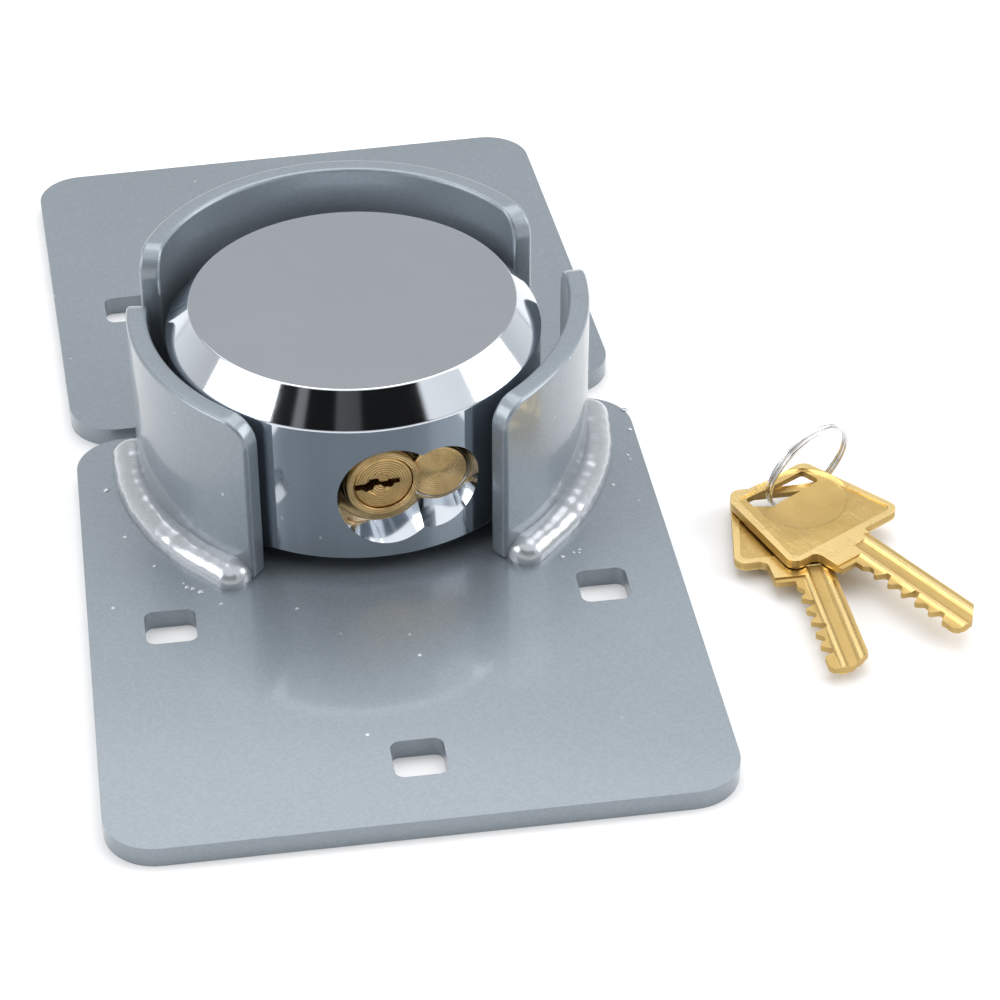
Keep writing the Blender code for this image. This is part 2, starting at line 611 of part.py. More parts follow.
def build_cylinder():
    shell_axis = cylinder_axis(PLUG_X, PLUG_Z)
    lobe_axis = cylinder_axis(PLUG_X + PIN_LOBE_PITCH, PLUG_Z)
    mesh = cone_mesh("cylinder_shell", SHELL_RADIUS, SHELL_RADIUS, SHELL_BACK, SHELL_FACE, shell_axis, 48)
    shell = add_object("cylinder_shell", mesh, parts, BRASS)
    lobe = cone_mesh("shell_lobe", PIN_LOBE_RADIUS, PIN_LOBE_RADIUS, SHELL_BACK + 0.01 * MM,
                     SHELL_FACE - PIN_LOBE_SETBACK, lobe_axis, 48)
    boolean(shell, add_object("shell_lobe", lobe, cutters), "UNION")
    drill(shell, "plug_bore", PLUG_RADIUS + PIN_GAP, SHELL_BACK - MM, SHELL_FACE + MM, shell_axis, None, 48)
    plug_mesh = cone_mesh("plug", PLUG_RADIUS, PLUG_RADIUS, SHELL_BACK - 0.4 * MM, PLUG_FACE, shell_axis, 48)
    plug = add_object("plug", plug_mesh, parts, BRASS)
    tail = cone_mesh("plug_tail", TAIL_RADIUS, TAIL_RADIUS, PINION_BACK - 0.9 * MM, SHELL_BACK, shell_axis, 24)
    boolean(plug, add_object("plug_tail", tail, cutters), "UNION")
    keyway = box_mesh("keyway", (PLUG_X - PLUG_RADIUS - MM, -PLUG_FACE - MM, PLUG_Z - KEYWAY_HEIGHT / 2),
                      (PLUG_X - PLUG_RADIUS + KEYWAY_DEPTH, -SHELL_BACK - MM, PLUG_Z + KEYWAY_HEIGHT / 2), world_lock)
    boolean(plug, add_object("keyway", keyway, cutters))
    key_pin_start = KEYWAY_DEPTH - PLUG_RADIUS - 0.4 * MM
    driver_start = PLUG_RADIUS + PIN_GAP
    spring_start = driver_start + DRIVER_LENGTH + GAP
    for number, y in enumerate(pin_stations(), 1):
        axis = pin_axis(y)
        reach = PIN_LOBE_PITCH + PIN_LOBE_RADIUS + MM
        drill(shell, f"pin_chamber_{number}", PIN_RADIUS + PIN_GAP, PLUG_RADIUS - MM, reach, axis, None, 16)
        drill(plug, f"plug_chamber_{number}", PIN_RADIUS + PIN_GAP, 0.0, PLUG_RADIUS + MM, axis, None, 16)
        key_pin = cone_mesh(f"key_pin_{number}", PIN_RADIUS * 0.5, PIN_RADIUS, key_pin_start,
                            PLUG_RADIUS - PIN_GAP, axis, 16)
        smooth(add_object(f"key_pin_{number}", key_pin, parts, BRASS))
        driver = cone_mesh(f"driver_pin_{number}", PIN_RADIUS, PIN_RADIUS, driver_start,
                           driver_start + DRIVER_LENGTH, axis, 16)
        smooth(add_object(f"driver_pin_{number}", driver, parts, STEEL))
        build_spring(f"pin_spring_{number}", spring_start, axis)
    width = PINION_WIDTH
    teeth = gear_outline(PINION_PITCH, PINION_TEETH, TOOTH_SLOPE, TOOTH_BACKLASH)
    quarter_turn = Matrix.Rotation(math.pi / 2, 4, "Z")
    place = shell_axis @ quarter_turn
    pinion_mesh = outline_mesh("drive_pinion", [teeth], PINION_BACK, PINION_BACK + width, place)
    pinion = add_object("drive_pinion", pinion_mesh, parts, STEEL)
    drill(pinion, "pinion_bore", TAIL_RADIUS + PIN_GAP, PINION_BACK - MM, PINION_FRONT + MM, shell_axis, None, 24)
    clip_mesh = cone_mesh("pinion_clip", 3.4 * MM, 3.4 * MM, PINION_BACK - 0.8 * MM, PINION_BACK - GAP, shell_axis, 24)
    clip = add_object("pinion_clip", clip_mesh, parts, STEEL)
    drill(clip, "clip_bore", TAIL_RADIUS + PIN_GAP, PINION_BACK - 2 * MM, PINION_FRONT, shell_axis, None, 24)
    place = world_lock @ Matrix.Translation((PLUG_X, -(SHELL_FACE + SHELL_BACK) / 2, 0))
    screw_mesh = cone_mesh("cylinder_screw", 1.5 * MM, 1.5 * MM, COVER_TOP + 0.1 * MM,
                           PLUG_Z - SHELL_RADIUS - 0.2 * MM, place, 16)
    smooth(add_object("cylinder_screw", screw_mesh, parts, STEEL))
    for item in (shell, plug, pinion, clip):
        smooth(item)


def wire_mesh(name, points, radius, sides, matrix):
    """A bare wire along a list of points, with filled ends."""
    curve = bpy.data.curves.new(name, "CURVE")
    curve.dimensions = "3D"
    curve.bevel_depth = radius
    curve.bevel_resolution = sides
    curve.use_fill_caps = True
    spline = curve.splines.new("POLY")
    spline.points.add(len(points) - 1)
    for target, point in zip(spline.points, points):
        target.co = (*point, 1.0)
    return solid_from_curve(name, curve, matrix)


def build_spring(name, start, axis):
    radius = PIN_RADIUS - SPRING_WIRE
    points = []
    steps = 10
    for i in range(SPRING_TURNS * steps + 1):
        angle = 2 * math.pi * i / steps
        height = start + SPRING_WIRE + (SPRING_LENGTH - 2 * SPRING_WIRE) * i / (SPRING_TURNS * steps)
        points.append((radius * math.cos(angle), radius * math.sin(angle), height))
    mesh = wire_mesh(name, points, SPRING_WIRE, 1, axis)
    smooth(add_object(name, mesh, parts, STEEL))


def round_corners(corners, radius, steps=4):
    """Rounds every corner of a polygon whose corners run anticlockwise."""
    points = []
    count = len(corners)
    for i, corner in enumerate(corners):
        here = Vector(corner)
        before = (Vector(corners[i - 1]) - here).normalized()
        after = (Vector(corners[(i + 1) % count]) - here).normalized()
        opening = math.acos(max(-1.0, min(1.0, before.dot(after))))
        reach = radius / math.tan(opening / 2)
        center = here + (before + after).normalized() * (radius / math.sin(opening / 2))
        first = here + before * reach - center
        last = here + after * reach - center
        start = math.atan2(first.y, first.x)
        sweep = (math.atan2(last.y, last.x) - start + math.pi) % (2 * math.pi) - math.pi
        points += arc(center, radius, start, start + sweep, steps)
    return points


def key_outline():
    """Seen from above with the blade pointing along -Y and the cuts on the -X side."""
    wide = BOW_WIDE / 2
    narrow = BOW_NARROW / 2
    low = -BOW_LENGTH
    collar = low - COLLAR_LENGTH
    tip = low - BLADE_LENGTH
    points = round_corners([(wide, low), (narrow, 0.0), (-narrow, 0.0), (-wide, low)], BOW_CORNER)
    points += [(COLLAR_LEFT - 1.8 * MM, low), (COLLAR_LEFT - 0.5 * MM, low - 0.6 * MM)]
    points += [(COLLAR_LEFT, low - 1.8 * MM), (COLLAR_LEFT, collar + 0.6 * MM)]
    points += [(COLLAR_LEFT + 0.6 * MM, collar), (BLADE_LEFT, collar)]
    pitch = (BLADE_LENGTH - COLLAR_LENGTH - 5 * MM) / len(CUT_DEPTHS)
    for index, depth in enumerate(CUT_DEPTHS):
        middle = collar - 1.5 * MM - pitch * (index + 0.5)
        cut = BLADE_LEFT + depth * MM
        points += [(BLADE_LEFT, middle + pitch * 0.42), (cut, middle + 0.5 * MM)]
        points += [(cut, middle - 0.5 * MM), (BLADE_LEFT, middle - pitch * 0.42)]
    points += [(BLADE_LEFT, tip + 1.0 * MM), (BLADE_LEFT + 0.8 * MM, tip), (0.0, tip)]
    points += [(BLADE_RIGHT, tip + 3.4 * MM), (BLADE_RIGHT, low - 1.6 * MM)]
    points += [(BLADE_RIGHT + 0.5 * MM, low - 0.5 * MM), (BLADE_RIGHT + 1.6 * MM, low)]
    return points


def build_keys():
    corners = [(-7.6, -4.6), (-4.4, -6.9), (-1.6, -6.5), (8.6, -6.2), (8.0, -1.9), (-7.3, -1.9)]
    hole = round_corners([(x * MM, y * MM) for x, y in corners], 0.7 * MM, 3)
    for name, (x, y, turn), low in (
            ("key_lower", LOWER_KEY, KEY_FLOOR),
            ("key_upper", UPPER_KEY, KEY_FLOOR + KEY_THICK + GAP)):
        place = Matrix.Translation((x, y + LOCK_Y, 0.0)) @ Matrix.Rotation(turn, 4, "Z")
        mesh = outline_mesh(name, [key_outline(), hole], low, low + KEY_THICK, place)
        smooth(add_object(name, mesh, parts, BRASS))


def build_ring():
    """A split ring of two close turns, leaning through the holes of both keys."""
    level = Vector((math.cos(RING_YAW), math.sin(RING_YAW), 0.0))
    flat = math.cos(RING_LEAN)
    normal = Vector((level.y * flat, -level.x * flat, -math.sin(RING_LEAN)))
    rise = normal.cross(level)
    if rise.z < 0:
        rise = -rise
    spread = RING_PITCH / 2 * abs(normal.z)
    height = RING_FLOOR + RING_WIRE + RING_RADIUS * rise.z + spread
    center = Vector((RING_CENTER[0], RING_CENTER[1] + LOCK_Y, height))
    steps = 54
    start = RING_JOG / 2 + RING_END_GAP
    sweep = 4 * math.pi - 2 * start
    points = []
    for i in range(steps + 1):
        turn = start + sweep * i / steps
        share = min(1.0, max(0.0, (turn - 2 * math.pi) / RING_JOG + 0.5))
        shift = RING_PITCH * (share * share * (3 - 2 * share) - 0.5)
        angle = turn + RING_SEAM
        point = center + level * (RING_RADIUS * math.cos(angle)) + rise * (RING_RADIUS * math.sin(angle))
        points.append(point + normal * shift)
    mesh = wire_mesh("split_ring", points, RING_WIRE, 2, Matrix.Identity(4))
    smooth(add_object("split_ring", mesh, parts, CHROME))


def set_origins(names, point):
    """Puts each piece's origin on its joint's axis without moving its surface."""
    for name in names:
        item = parts.objects[name]
        shift = item.matrix_world.inverted() @ Vector(point)
        item.data.transform(Matrix.Translation(-shift))
        item.matrix_world = item.matrix_world @ Matrix.Translation(shift)


def place_origins():
    plug_axis = world_lock @ Vector((PLUG_X, -SHELL_BACK, PLUG_Z))
    bolt_axis = world_lock @ Vector((BOLT_RIGHT, EYE_Y, EYE_Z))
    turning = ["plug", "drive_pinion", "pinion_clip"] + [f"key_pin_{n + 1}" for n in range(PIN_COUNT)]
    set_origins(turning, plug_axis)
    set_origins(["locking_bolt"], bolt_axis)
    set_origins(["base_cover", "cylinder_shell", "bolt_cradle"], (LOCK_X, LOCK_Y, LOCK_BOTTOM))
    set_origins(["key_upper"], (KEY_SWING[0], KEY_SWING[1] + LOCK_Y, KEY_FLOOR))
    set_origins(["key_lower", "split_ring"], (RING_CENTER[0], RING_CENTER[1] + LOCK_Y, 0.0))


clear_scene()
parts = make_collection("door_hasp_lock")
cutters = make_collection("cutters")
build_plates()
build_guards()
build_staples()
build_lock_body()
build_cover()
build_bolt()
build_cylinder()
build_keys()
build_ring()
place_origins()
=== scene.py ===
import bpy
import bmesh
import json
import math
from mathutils import Matrix, Vector


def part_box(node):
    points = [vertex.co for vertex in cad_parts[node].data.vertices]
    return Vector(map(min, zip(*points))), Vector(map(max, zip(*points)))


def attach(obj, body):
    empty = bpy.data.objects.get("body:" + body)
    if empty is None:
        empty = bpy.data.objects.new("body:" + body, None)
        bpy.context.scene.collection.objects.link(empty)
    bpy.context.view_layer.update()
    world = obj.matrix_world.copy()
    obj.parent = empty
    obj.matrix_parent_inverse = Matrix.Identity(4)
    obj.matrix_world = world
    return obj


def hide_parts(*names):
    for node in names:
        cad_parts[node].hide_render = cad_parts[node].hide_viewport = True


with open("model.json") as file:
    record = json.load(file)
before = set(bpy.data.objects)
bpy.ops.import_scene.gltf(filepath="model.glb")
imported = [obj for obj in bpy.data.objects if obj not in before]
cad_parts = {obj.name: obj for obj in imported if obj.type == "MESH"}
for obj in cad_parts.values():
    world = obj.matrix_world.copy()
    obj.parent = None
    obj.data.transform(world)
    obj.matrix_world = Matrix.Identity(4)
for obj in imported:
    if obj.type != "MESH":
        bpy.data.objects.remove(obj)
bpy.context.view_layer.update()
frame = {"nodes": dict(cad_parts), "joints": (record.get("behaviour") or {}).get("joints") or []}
mm = 0.001


# Where things are comes from the frame.
def jointNamed(name):
    return next(joint for joint in frame["joints"] if joint["name"] == name)


lockLow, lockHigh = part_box("lock_body")
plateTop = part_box("front_plate")[1].z
turnAxis = jointNamed("key_turn")["axis"]
lockYaw = math.atan2(-turnAxis[0], turnAxis[1])
lockCenter = (lockLow + lockHigh) / 2
placeStraight = Matrix.Translation((lockCenter.x, lockCenter.y, 0.0))
placeLock = placeStraight @ Matrix.Rotation(lockYaw, 4, "Z")
print("frame loaded, lock at", tuple(round(value / mm, 2) for value in lockCenter))


class Wire:
    # A socket that can be used in a sum.
    def __init__(self, tree, socket):
        self.tree = tree
        self.socket = socket

    def math(self, operation, *values, clamp=False):
        node = self.tree.nodes.new("ShaderNodeMath")
        node.operation = operation
        node.use_clamp = clamp
        for place, value in enumerate(values):
            put(self.tree, node.inputs[place], value)
        return Wire(self.tree, node.outputs[0])

    def __add__(self, other):
        return self.math("ADD", self, other)

    def __radd__(self, other):
        return self.math("ADD", other, self)

    def __sub__(self, other):
        return self.math("SUBTRACT", self, other)

    def __rsub__(self, other):
        return self.math("SUBTRACT", other, self)

    def __mul__(self, other):
        return self.math("MULTIPLY", self, other)

    def __rmul__(self, other):
        return self.math("MULTIPLY", other, self)

    def __truediv__(self, other):
        return self.math("DIVIDE", self, other)

    def power(self, other):
        return self.math("POWER", self, other)

    def above(self, low, high):
        # 0 below low, 1 above high, straight in between.
        share = (self - low) / (high - low)
        return share.math("ADD", share, 0.0, clamp=True)


def put(tree, socket, value):
    # Links a wire, or sets a plain value.
    if isinstance(value, Wire):
        tree.links.new(value.socket, socket)
    elif isinstance(value, (tuple, list)) and len(value) == 3 and socket.type == "RGBA":
        socket.default_value = (*value, 1.0)
    else:
        socket.default_value = value


def fillRamp(node, stops):
    elements = node.color_ramp.elements
    while len(elements) < len(stops):
        elements.new(0.5)
    for element, (position, color) in zip(elements, stops):
        element.position = position
        element.color = (*color, 1.0)


class Finish:
    # A material with one Principled shader and short ways to add nodes.
    def __init__(self, name, **constants):
        self.material = bpy.data.materials.new(name)
        self.material.use_nodes = True
        self.tree = self.material.node_tree
        self.shader = self.tree.nodes["Principled BSDF"]
        for socketName, value in constants.items():
            put(self.tree, self.shader.inputs[socketName.replace("_", " ")], value)

    def node(self, kind, settings=None, values=None, out=0):
        node = self.tree.nodes.new(kind)
        for key, value in (settings or {}).items():
            setattr(node, key, value)
        for key, value in (values or {}).items():
            put(self.tree, node.inputs[key], value)
        return Wire(self.tree, node.outputs[out])

    def place(self, matrix=None):
        # Object coordinates, or those of a piece's own axis.
        wire = self.node("ShaderNodeTexCoord", out="Object")
        if matrix is None:
            return wire
        turn = matrix.inverted()
        return self.node("ShaderNodeMapping", values={
            "Vector": wire, "Location": turn.to_translation(), "Rotation": turn.to_euler()})

    def noise(self, where, scale, detail=3.0, rough=0.55, stretch=None):
        if stretch:
            where = self.node("ShaderNodeMapping", values={"Vector": where, "Scale": stretch})
        return self.node("ShaderNodeTexNoise", values={
            "Vector": where, "Scale": scale, "Detail": detail, "Roughness": rough}, out="Fac")

    def cells(self, where, scale, what="Distance"):
        return self.node("ShaderNodeTexVoronoi", values={"Vector": where, "Scale": scale}, out=what)

    def mix(self, factor, first, second):
        node = self.tree.nodes.new("ShaderNodeMix")
        node.data_type = "RGBA"
        put(self.tree, node.inputs[0], factor)
        put(self.tree, node.inputs[6], first)
        put(self.tree, node.inputs[7], second)
        return Wire(self.tree, node.outputs[2])

    def bump(self, height, distance, strength=1.0):
        wire = self.node("ShaderNodeBump", values={
            "Height": height, "Distance": distance, "Strength": strength})
        put(self.tree, self.shader.inputs["Normal"], wire)

    def feed(self, **wires):
        for socketName, wire in wires.items():
            put(self.tree, self.shader.inputs[socketName.replace("_", " ")], wire)
        return self.material


def platePaint(name, look):
    # Silver-grey metallic coat with a soft orange peel and a few dust nibs.
    finish = Finish(name, Metallic=look["metallic"], Coat_Weight=look["coat"],
                    Coat_Roughness=look["coatRoughness"])
    where = finish.place()
    cloud = finish.noise(where, 14.0, 4.0)
    flake = finish.cells(where, 2600.0, "Color")
    tone = finish.node("ShaderNodeSeparateColor", values={"Color": flake})
    nib = 1.0 - finish.cells(where, look["nibScale"]).above(0.02, 0.045)
    shade = cloud * 0.5 + tone * 0.5
    color = finish.mix(shade, look["dark"], look["light"])
    color = finish.mix(nib * look["nibWhite"], color, (0.92, 0.93, 0.94))
    peel = finish.noise(where, 420.0, 2.0)
    wave = finish.noise(where, 70.0, 2.0)
    finish.bump(peel * 0.35 + wave * look["wave"] + nib * 1.2, 0.0001, look["bump"])
    return finish.feed(Base_Color=color, Roughness=look["roughness"] + cloud * 0.10)


def lockChrome(name, look):
    # Polished plate with faint wipe marks and pin-head pits.
    finish = Finish(name, Metallic=1.0)
    where = finish.place(placeLock)
    smear = finish.noise(where, 38.0, 5.0, 0.6)
    wipe = finish.noise(where, 90.0, 3.0, 0.6, (1.0, 7.0, 1.0))
    pit = 1.0 - finish.cells(where, 260.0).above(0.03, 0.08)
    color = finish.mix(smear, look["dark"], look["light"])
    finish.bump(finish.noise(where, 60.0, 2.0) * 0.6 - pit * 0.15 + wipe * 0.05, 0.00008, look["bump"])
    rough = look["roughness"] + smear * 0.05 + wipe * 0.03 + pit * 0.08
    return finish.feed(Base_Color=color, Roughness=rough)


def turnedBrass(name, centers, look):
    # Brass faced on a lathe: fine rings round the nearest of the given axes.
    finish = Finish(name, Metallic=1.0)
    where = finish.place(placeLock)
    sideways = finish.node("ShaderNodeSeparateXYZ", values={"Vector": where}, out="X")
    upright = finish.node("ShaderNodeSeparateXYZ", values={"Vector": where}, out="Z")
    rings = None
    for x, z in centers:
        across = sideways - x
        up = upright - z
        radius = (across * across + up * up).power(0.5)
        rings = radius if rings is None else rings.math("MINIMUM", rings, radius)
    phase = rings * (2 * math.pi / look["pitch"])
    groove = phase.math("SINE", phase)
    stain = finish.noise(where, 260.0, 5.0, 0.65)
    scratch = finish.noise(where, 900.0, 2.0, 0.5, (1.0, 1.0, 5.0))
    color = finish.mix(stain.above(0.35, 0.75), look["light"], look["dark"])
    finish.bump(groove * 0.7 + scratch * 1.1 + stain * 0.6, 0.00005, look["bump"])
    return finish.feed(Base_Color=color, Roughness=look["roughness"] + stain * 0.18 + groove * 0.03)


def keyBrass(name, place, look):
    # Stamped brass, grained along the key; the milled grooves are painted darker (painted shade) and the
    # raised outer faces lighter (painted highlight).
    finish = Finish(name, Metallic=1.0)
    where = finish.place(place)
    height = finish.node("ShaderNodeSeparateXYZ", values={"Vector": where}, out="Z")
    grain = finish.noise(where, 1500.0, 3.0, 0.6, (1.0, 0.12, 1.0))
    stain = finish.noise(where, 180.0, 5.0, 0.65)
    speck = 1.0 - finish.cells(where, 620.0).above(0.04, 0.12)
    middle = look["thick"] / 2
    off = height - middle
    depth = off.math("ABSOLUTE", off)
    # Painted shade: this marks the floors of the milled grooves, which are darkened below.
    deep = 1.0 - depth.above(middle - look["grooveDeep"], middle - look["grooveShallow"])
    # Painted highlight: this marks the raised outer faces (the bow's rim and the blade), which are lightened
    # below.
    high = depth.above(middle - 0.12 * mm, middle - 0.05 * mm)
    color = finish.mix(stain.above(0.30, 0.80), look["light"], look["dark"])
    color = finish.mix(high * 0.8, color, look["paintedHighlight"])
    color = finish.mix(deep * 0.65, color, look["groove"])
    color = finish.mix(speck * 0.35, color, look["groove"])
    finish.bump(grain * 0.8 + stain * 1.2 - speck * 0.5, 0.00006, look["bump"])
    return finish.feed(Base_Color=color, Roughness=look["roughness"] + stain * 0.16 + deep * 0.25)


def bareSteel(name, look):
    # Zinc-plated or plain steel with a spangle and tool marks.
    finish = Finish(name, Metallic=1.0)
    where = finish.place(placeLock)
    spangle = finish.node("ShaderNodeSeparateColor", values={"Color": finish.cells(where, 420.0, "Color")})
    grain = finish.noise(where, 800.0, 3.0, 0.6, (0.15, 1.0, 1.0))
    cloud = finish.noise(where, 60.0, 4.0)
    color = finish.mix(cloud * 0.6 + spangle * 0.4, look["dark"], look["light"])
    finish.bump(grain * 0.8 + cloud * 0.4, 0.00005, 0.6)
    return finish.feed(Base_Color=color, Roughness=look["roughness"] + cloud * 0.15 + spangle * 0.06)


def paperFloor(name):
    finish = Finish(name, Specular_IOR_Level=0.2)
    where = finish.place()
    fiber = finish.noise(where, 60.0, 4.0)
    color = finish.mix(fiber, (0.86, 0.86, 0.86), (0.90, 0.90, 0.90))
    return finish.feed(Base_Color=color, Roughness=0.75 + fiber * 0.1)


def coat(piece, material):
    piece.data.materials.clear()
    piece.data.materials.append(material)


def addPiece(name, mesh, material=None, smoothAngle=35.0):
    piece = bpy.data.objects.new(name, mesh)
    bpy.context.scene.collection.objects.link(piece)
    if material:
        coat(piece, material)
    mesh.shade_smooth()
    mesh.set_sharp_from_angle(angle=math.radians(smoothAngle))
    return piece


def bakePiece(piece, place=None, smoothAngle=35.0, weigh=False):
    # Applies the modifiers and the place, and leaves a plain mesh at the origin.
    if weigh:
        even = piece.modifiers.new("even", "WEIGHTED_NORMAL")
        even.keep_sharp = True
        even.weight = 100
    bpy.context.view_layer.update()
    graph = bpy.context.evaluated_depsgraph_get()
    mesh = bpy.data.meshes.new_from_object(piece.evaluated_get(graph))
    if place is not None:
        mesh.transform(place)
    piece.modifiers.clear()
    old = piece.data
    piece.data = mesh
    if old.users == 0 and isinstance(old, bpy.types.Mesh):
        bpy.data.meshes.remove(old)
    mesh.name = piece.name
    if not weigh:
        mesh.shade_smooth()
        mesh.set_sharp_from_angle(angle=math.radians(smoothAngle))
    return piece


def bevelPiece(piece, width, segments=3, angle=50.0):
    bevel = piece.modifiers.new("edges", "BEVEL")
    bevel.width = width
    bevel.segments = segments
    bevel.limit_method = "ANGLE"
    bevel.angle_limit = math.radians(angle)
    bevel.harden_normals = True
    bevel.miter_outer = "MITER_ARC"


def cutPiece(piece, cutterMesh, operation="DIFFERENCE"):
    # Cuts at once, so that each cutter can be thrown away.
    cutter = bpy.data.objects.new("cutter", cutterMesh)
    bpy.context.scene.collection.objects.link(cutter)
    change = piece.modifiers.new("cut", "BOOLEAN")
    change.operation = operation
    change.solver = "EXACT"
    change.object = cutter
    bakePiece(piece)
    bpy.data.objects.remove(cutter, do_unlink=True)
    bpy.data.meshes.remove(cutterMesh)


def arcPoints(center, radius, start, end, steps):
    points = []
    for step in range(steps + 1):
        angle = start + (end - start) * step / steps
        points.append((center[0] + radius * math.cos(angle), center[1] + radius * math.sin(angle)))
    return points


def roundedLoop(corners, radius, steps=6, closed=True):
    # Rounds the corners of a loop, or the inner corners of an open line. A radius may be a list.
    points = []
    count = len(corners)
    for index, corner in enumerate(corners):
        here = Vector(corner)
        size = radius[index] if isinstance(radius, (list, tuple)) else radius
        if size == 0 or (not closed and index in (0, count - 1)):
            points.append(tuple(here))
            continue
        before = (Vector(corners[index - 1]) - here).normalized()
        after = (Vector(corners[(index + 1) % count]) - here).normalized()
        opening = math.acos(max(-1.0, min(1.0, before.dot(after))))
        if opening > math.radians(179):
            points.append(tuple(here))
            continue
        reach = size / math.tan(opening / 2)
        center = here + (before + after).normalized() * (size / math.sin(opening / 2))
        first = here + before * reach - center
        last = here + after * reach - center
        start = math.atan2(first.y, first.x)
        sweep = (math.atan2(last.y, last.x) - start + math.pi) % (2 * math.pi) - math.pi
        points += arcPoints(center, size, start, start + sweep, steps)
    return points


def outlineMesh(name, loops, low, high, place=None):
    # A flat outline with holes, made solid between two heights.
    curve = bpy.data.curves.new(name, "CURVE")
    curve.dimensions = "2D"
    curve.fill_mode = "BOTH"
    curve.extrude = (high - low) / 2
    for loop in loops:
        spline = curve.splines.new("POLY")
        spline.points.add(len(loop) - 1)
        for target, point in zip(spline.points, loop):
            target.co = (point[0], point[1], 0.0, 1.0)
        spline.use_cyclic_u = True
    holder = bpy.data.objects.new(name, curve)
    bpy.context.scene.collection.objects.link(holder)
    bpy.context.view_layer.update()
    mesh = bpy.data.meshes.new_from_object(holder.evaluated_get(bpy.context.evaluated_depsgraph_get()))
    bpy.data.objects.remove(holder, do_unlink=True)
    bpy.data.curves.remove(curve)
    work = bmesh.new()
    work.from_mesh(mesh)
    bmesh.ops.remove_doubles(work, verts=work.verts, dist=1e-6)
    bmesh.ops.dissolve_limit(work, angle_limit=0.001, verts=work.verts, edges=work.edges)
    bmesh.ops.translate(work, vec=(0, 0, (high + low) / 2), verts=work.verts)
    if place is not None:
        bmesh.ops.transform(work, matrix=place, verts=work.verts)
    bmesh.ops.recalc_face_normals(work, faces=work.faces)
    work.to_mesh(mesh)
    work.free()
    return mesh


def turnedMesh(name, profile, segments, place=None):
    # Turns a line of (radius, height) about local Z; ends on the axis are closed.
    work = bmesh.new()
    rings = []
    for radius, height in profile:
        if radius < 1e-7:
            rings.append([work.verts.new((0, 0, height))])
        else:
            ring = []
            for step in range(segments):
                angle = 2 * math.pi * step / segments
                ring.append(work.verts.new((radius * math.cos(angle), radius * math.sin(angle), height)))
            rings.append(ring)
    for first, second in zip(rings, rings[1:]):
        for step in range(segments):
            after = (step + 1) % segments
            corners = [first[step % len(first)], first[after % len(first)],
                       second[after % len(second)], second[step % len(second)]]
            loop = []
            for corner in corners:
                if corner not in loop:
                    loop.append(corner)
            if len(loop) > 2:
                work.faces.new(loop)
    if len(rings[0]) > 1 and profile[0] == profile[-1]:
        bmesh.ops.remove_doubles(work, verts=work.verts, dist=1e-7)
    bmesh.ops.recalc_face_normals(work, faces=work.faces)
    if place is not None:
        bmesh.ops.transform(work, matrix=place, verts=work.verts)
    mesh = bpy.data.meshes.new(name)
    work.to_mesh(mesh)
    work.free()
    return mesh


def boxMesh(name, low, high, place=None):
    work = bmesh.new()
    bmesh.ops.create_cube(work, size=1.0)
    bmesh.ops.scale(work, vec=[high[i] - low[i] for i in range(3)], verts=work.verts)
    bmesh.ops.translate(work, vec=[(high[i] + low[i]) / 2 for i in range(3)], verts=work.verts)
    if place is not None:
        bmesh.ops.transform(work, matrix=place, verts=work.verts)
    mesh = bpy.data.meshes.new(name)
    work.to_mesh(mesh)
    work.free()
    return mesh


def keep(piece, body, slotName, *nodes):
    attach(piece, body)
    if nodes:
        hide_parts(*nodes)
    return piece


class Shaper:
    # A Geometry Nodes tree with named inputs, run once and left as a plain mesh.
    def __init__(self, name, inputs):
        self.tree = bpy.data.node_groups.new(name, "GeometryNodeTree")
        self.tree.interface.new_socket("Geometry", in_out="OUTPUT", socket_type="NodeSocketGeometry")
        self.keys = {}
        for label, (kind, value) in inputs.items():
            socket = self.tree.interface.new_socket(label, in_out="INPUT", socket_type="NodeSocket" + kind)
            if kind != "Material":
                socket.default_value = value
            self.keys[label] = socket.identifier
        self.source = self.tree.nodes.new("NodeGroupInput")
        self.result = self.tree.nodes.new("NodeGroupOutput")

    def given(self, label):
        return self.source.outputs[label]

    def node(self, kind, settings=None, values=None, out=0):
        node = self.tree.nodes.new(kind)
        for key, value in (settings or {}).items():
            setattr(node, key, value)
        for key, value in (values or {}).items():
            if isinstance(value, bpy.types.NodeSocket):
                self.tree.links.new(value, node.inputs[key])
            else:
                node.inputs[key].default_value = value
        return node.outputs[out]

    def math(self, operation, first, second=0.0):
        return self.node("ShaderNodeMath", {"operation": operation}, {0: first, 1: second})

    def close(self, geometry):
        real = self.node("GeometryNodeRealizeInstances", values={"Geometry": geometry})
        coated = self.node("GeometryNodeSetMaterial", values={
            "Geometry": real, "Material": self.given("Finish")})
        self.tree.links.new(coated, self.result.inputs[0])

    def make(self, name, values, place, smoothAngle=60.0):
        piece = addPiece(name, bpy.data.meshes.new(name))
        change = piece.modifiers.new("shape", "NODES")
        change.node_group = self.tree
        for label, value in values.items():
            change[self.keys[label]] = value
        bakePiece(piece, place, smoothAngle)
        work = bmesh.new()
        work.from_mesh(piece.data)
        bmesh.ops.remove_doubles(work, verts=work.verts, dist=1e-6)
        bmesh.ops.recalc_face_normals(work, faces=work.faces)
        work.to_mesh(piece.data)
        work.free()
        piece.data.shade_smooth()
        return piece


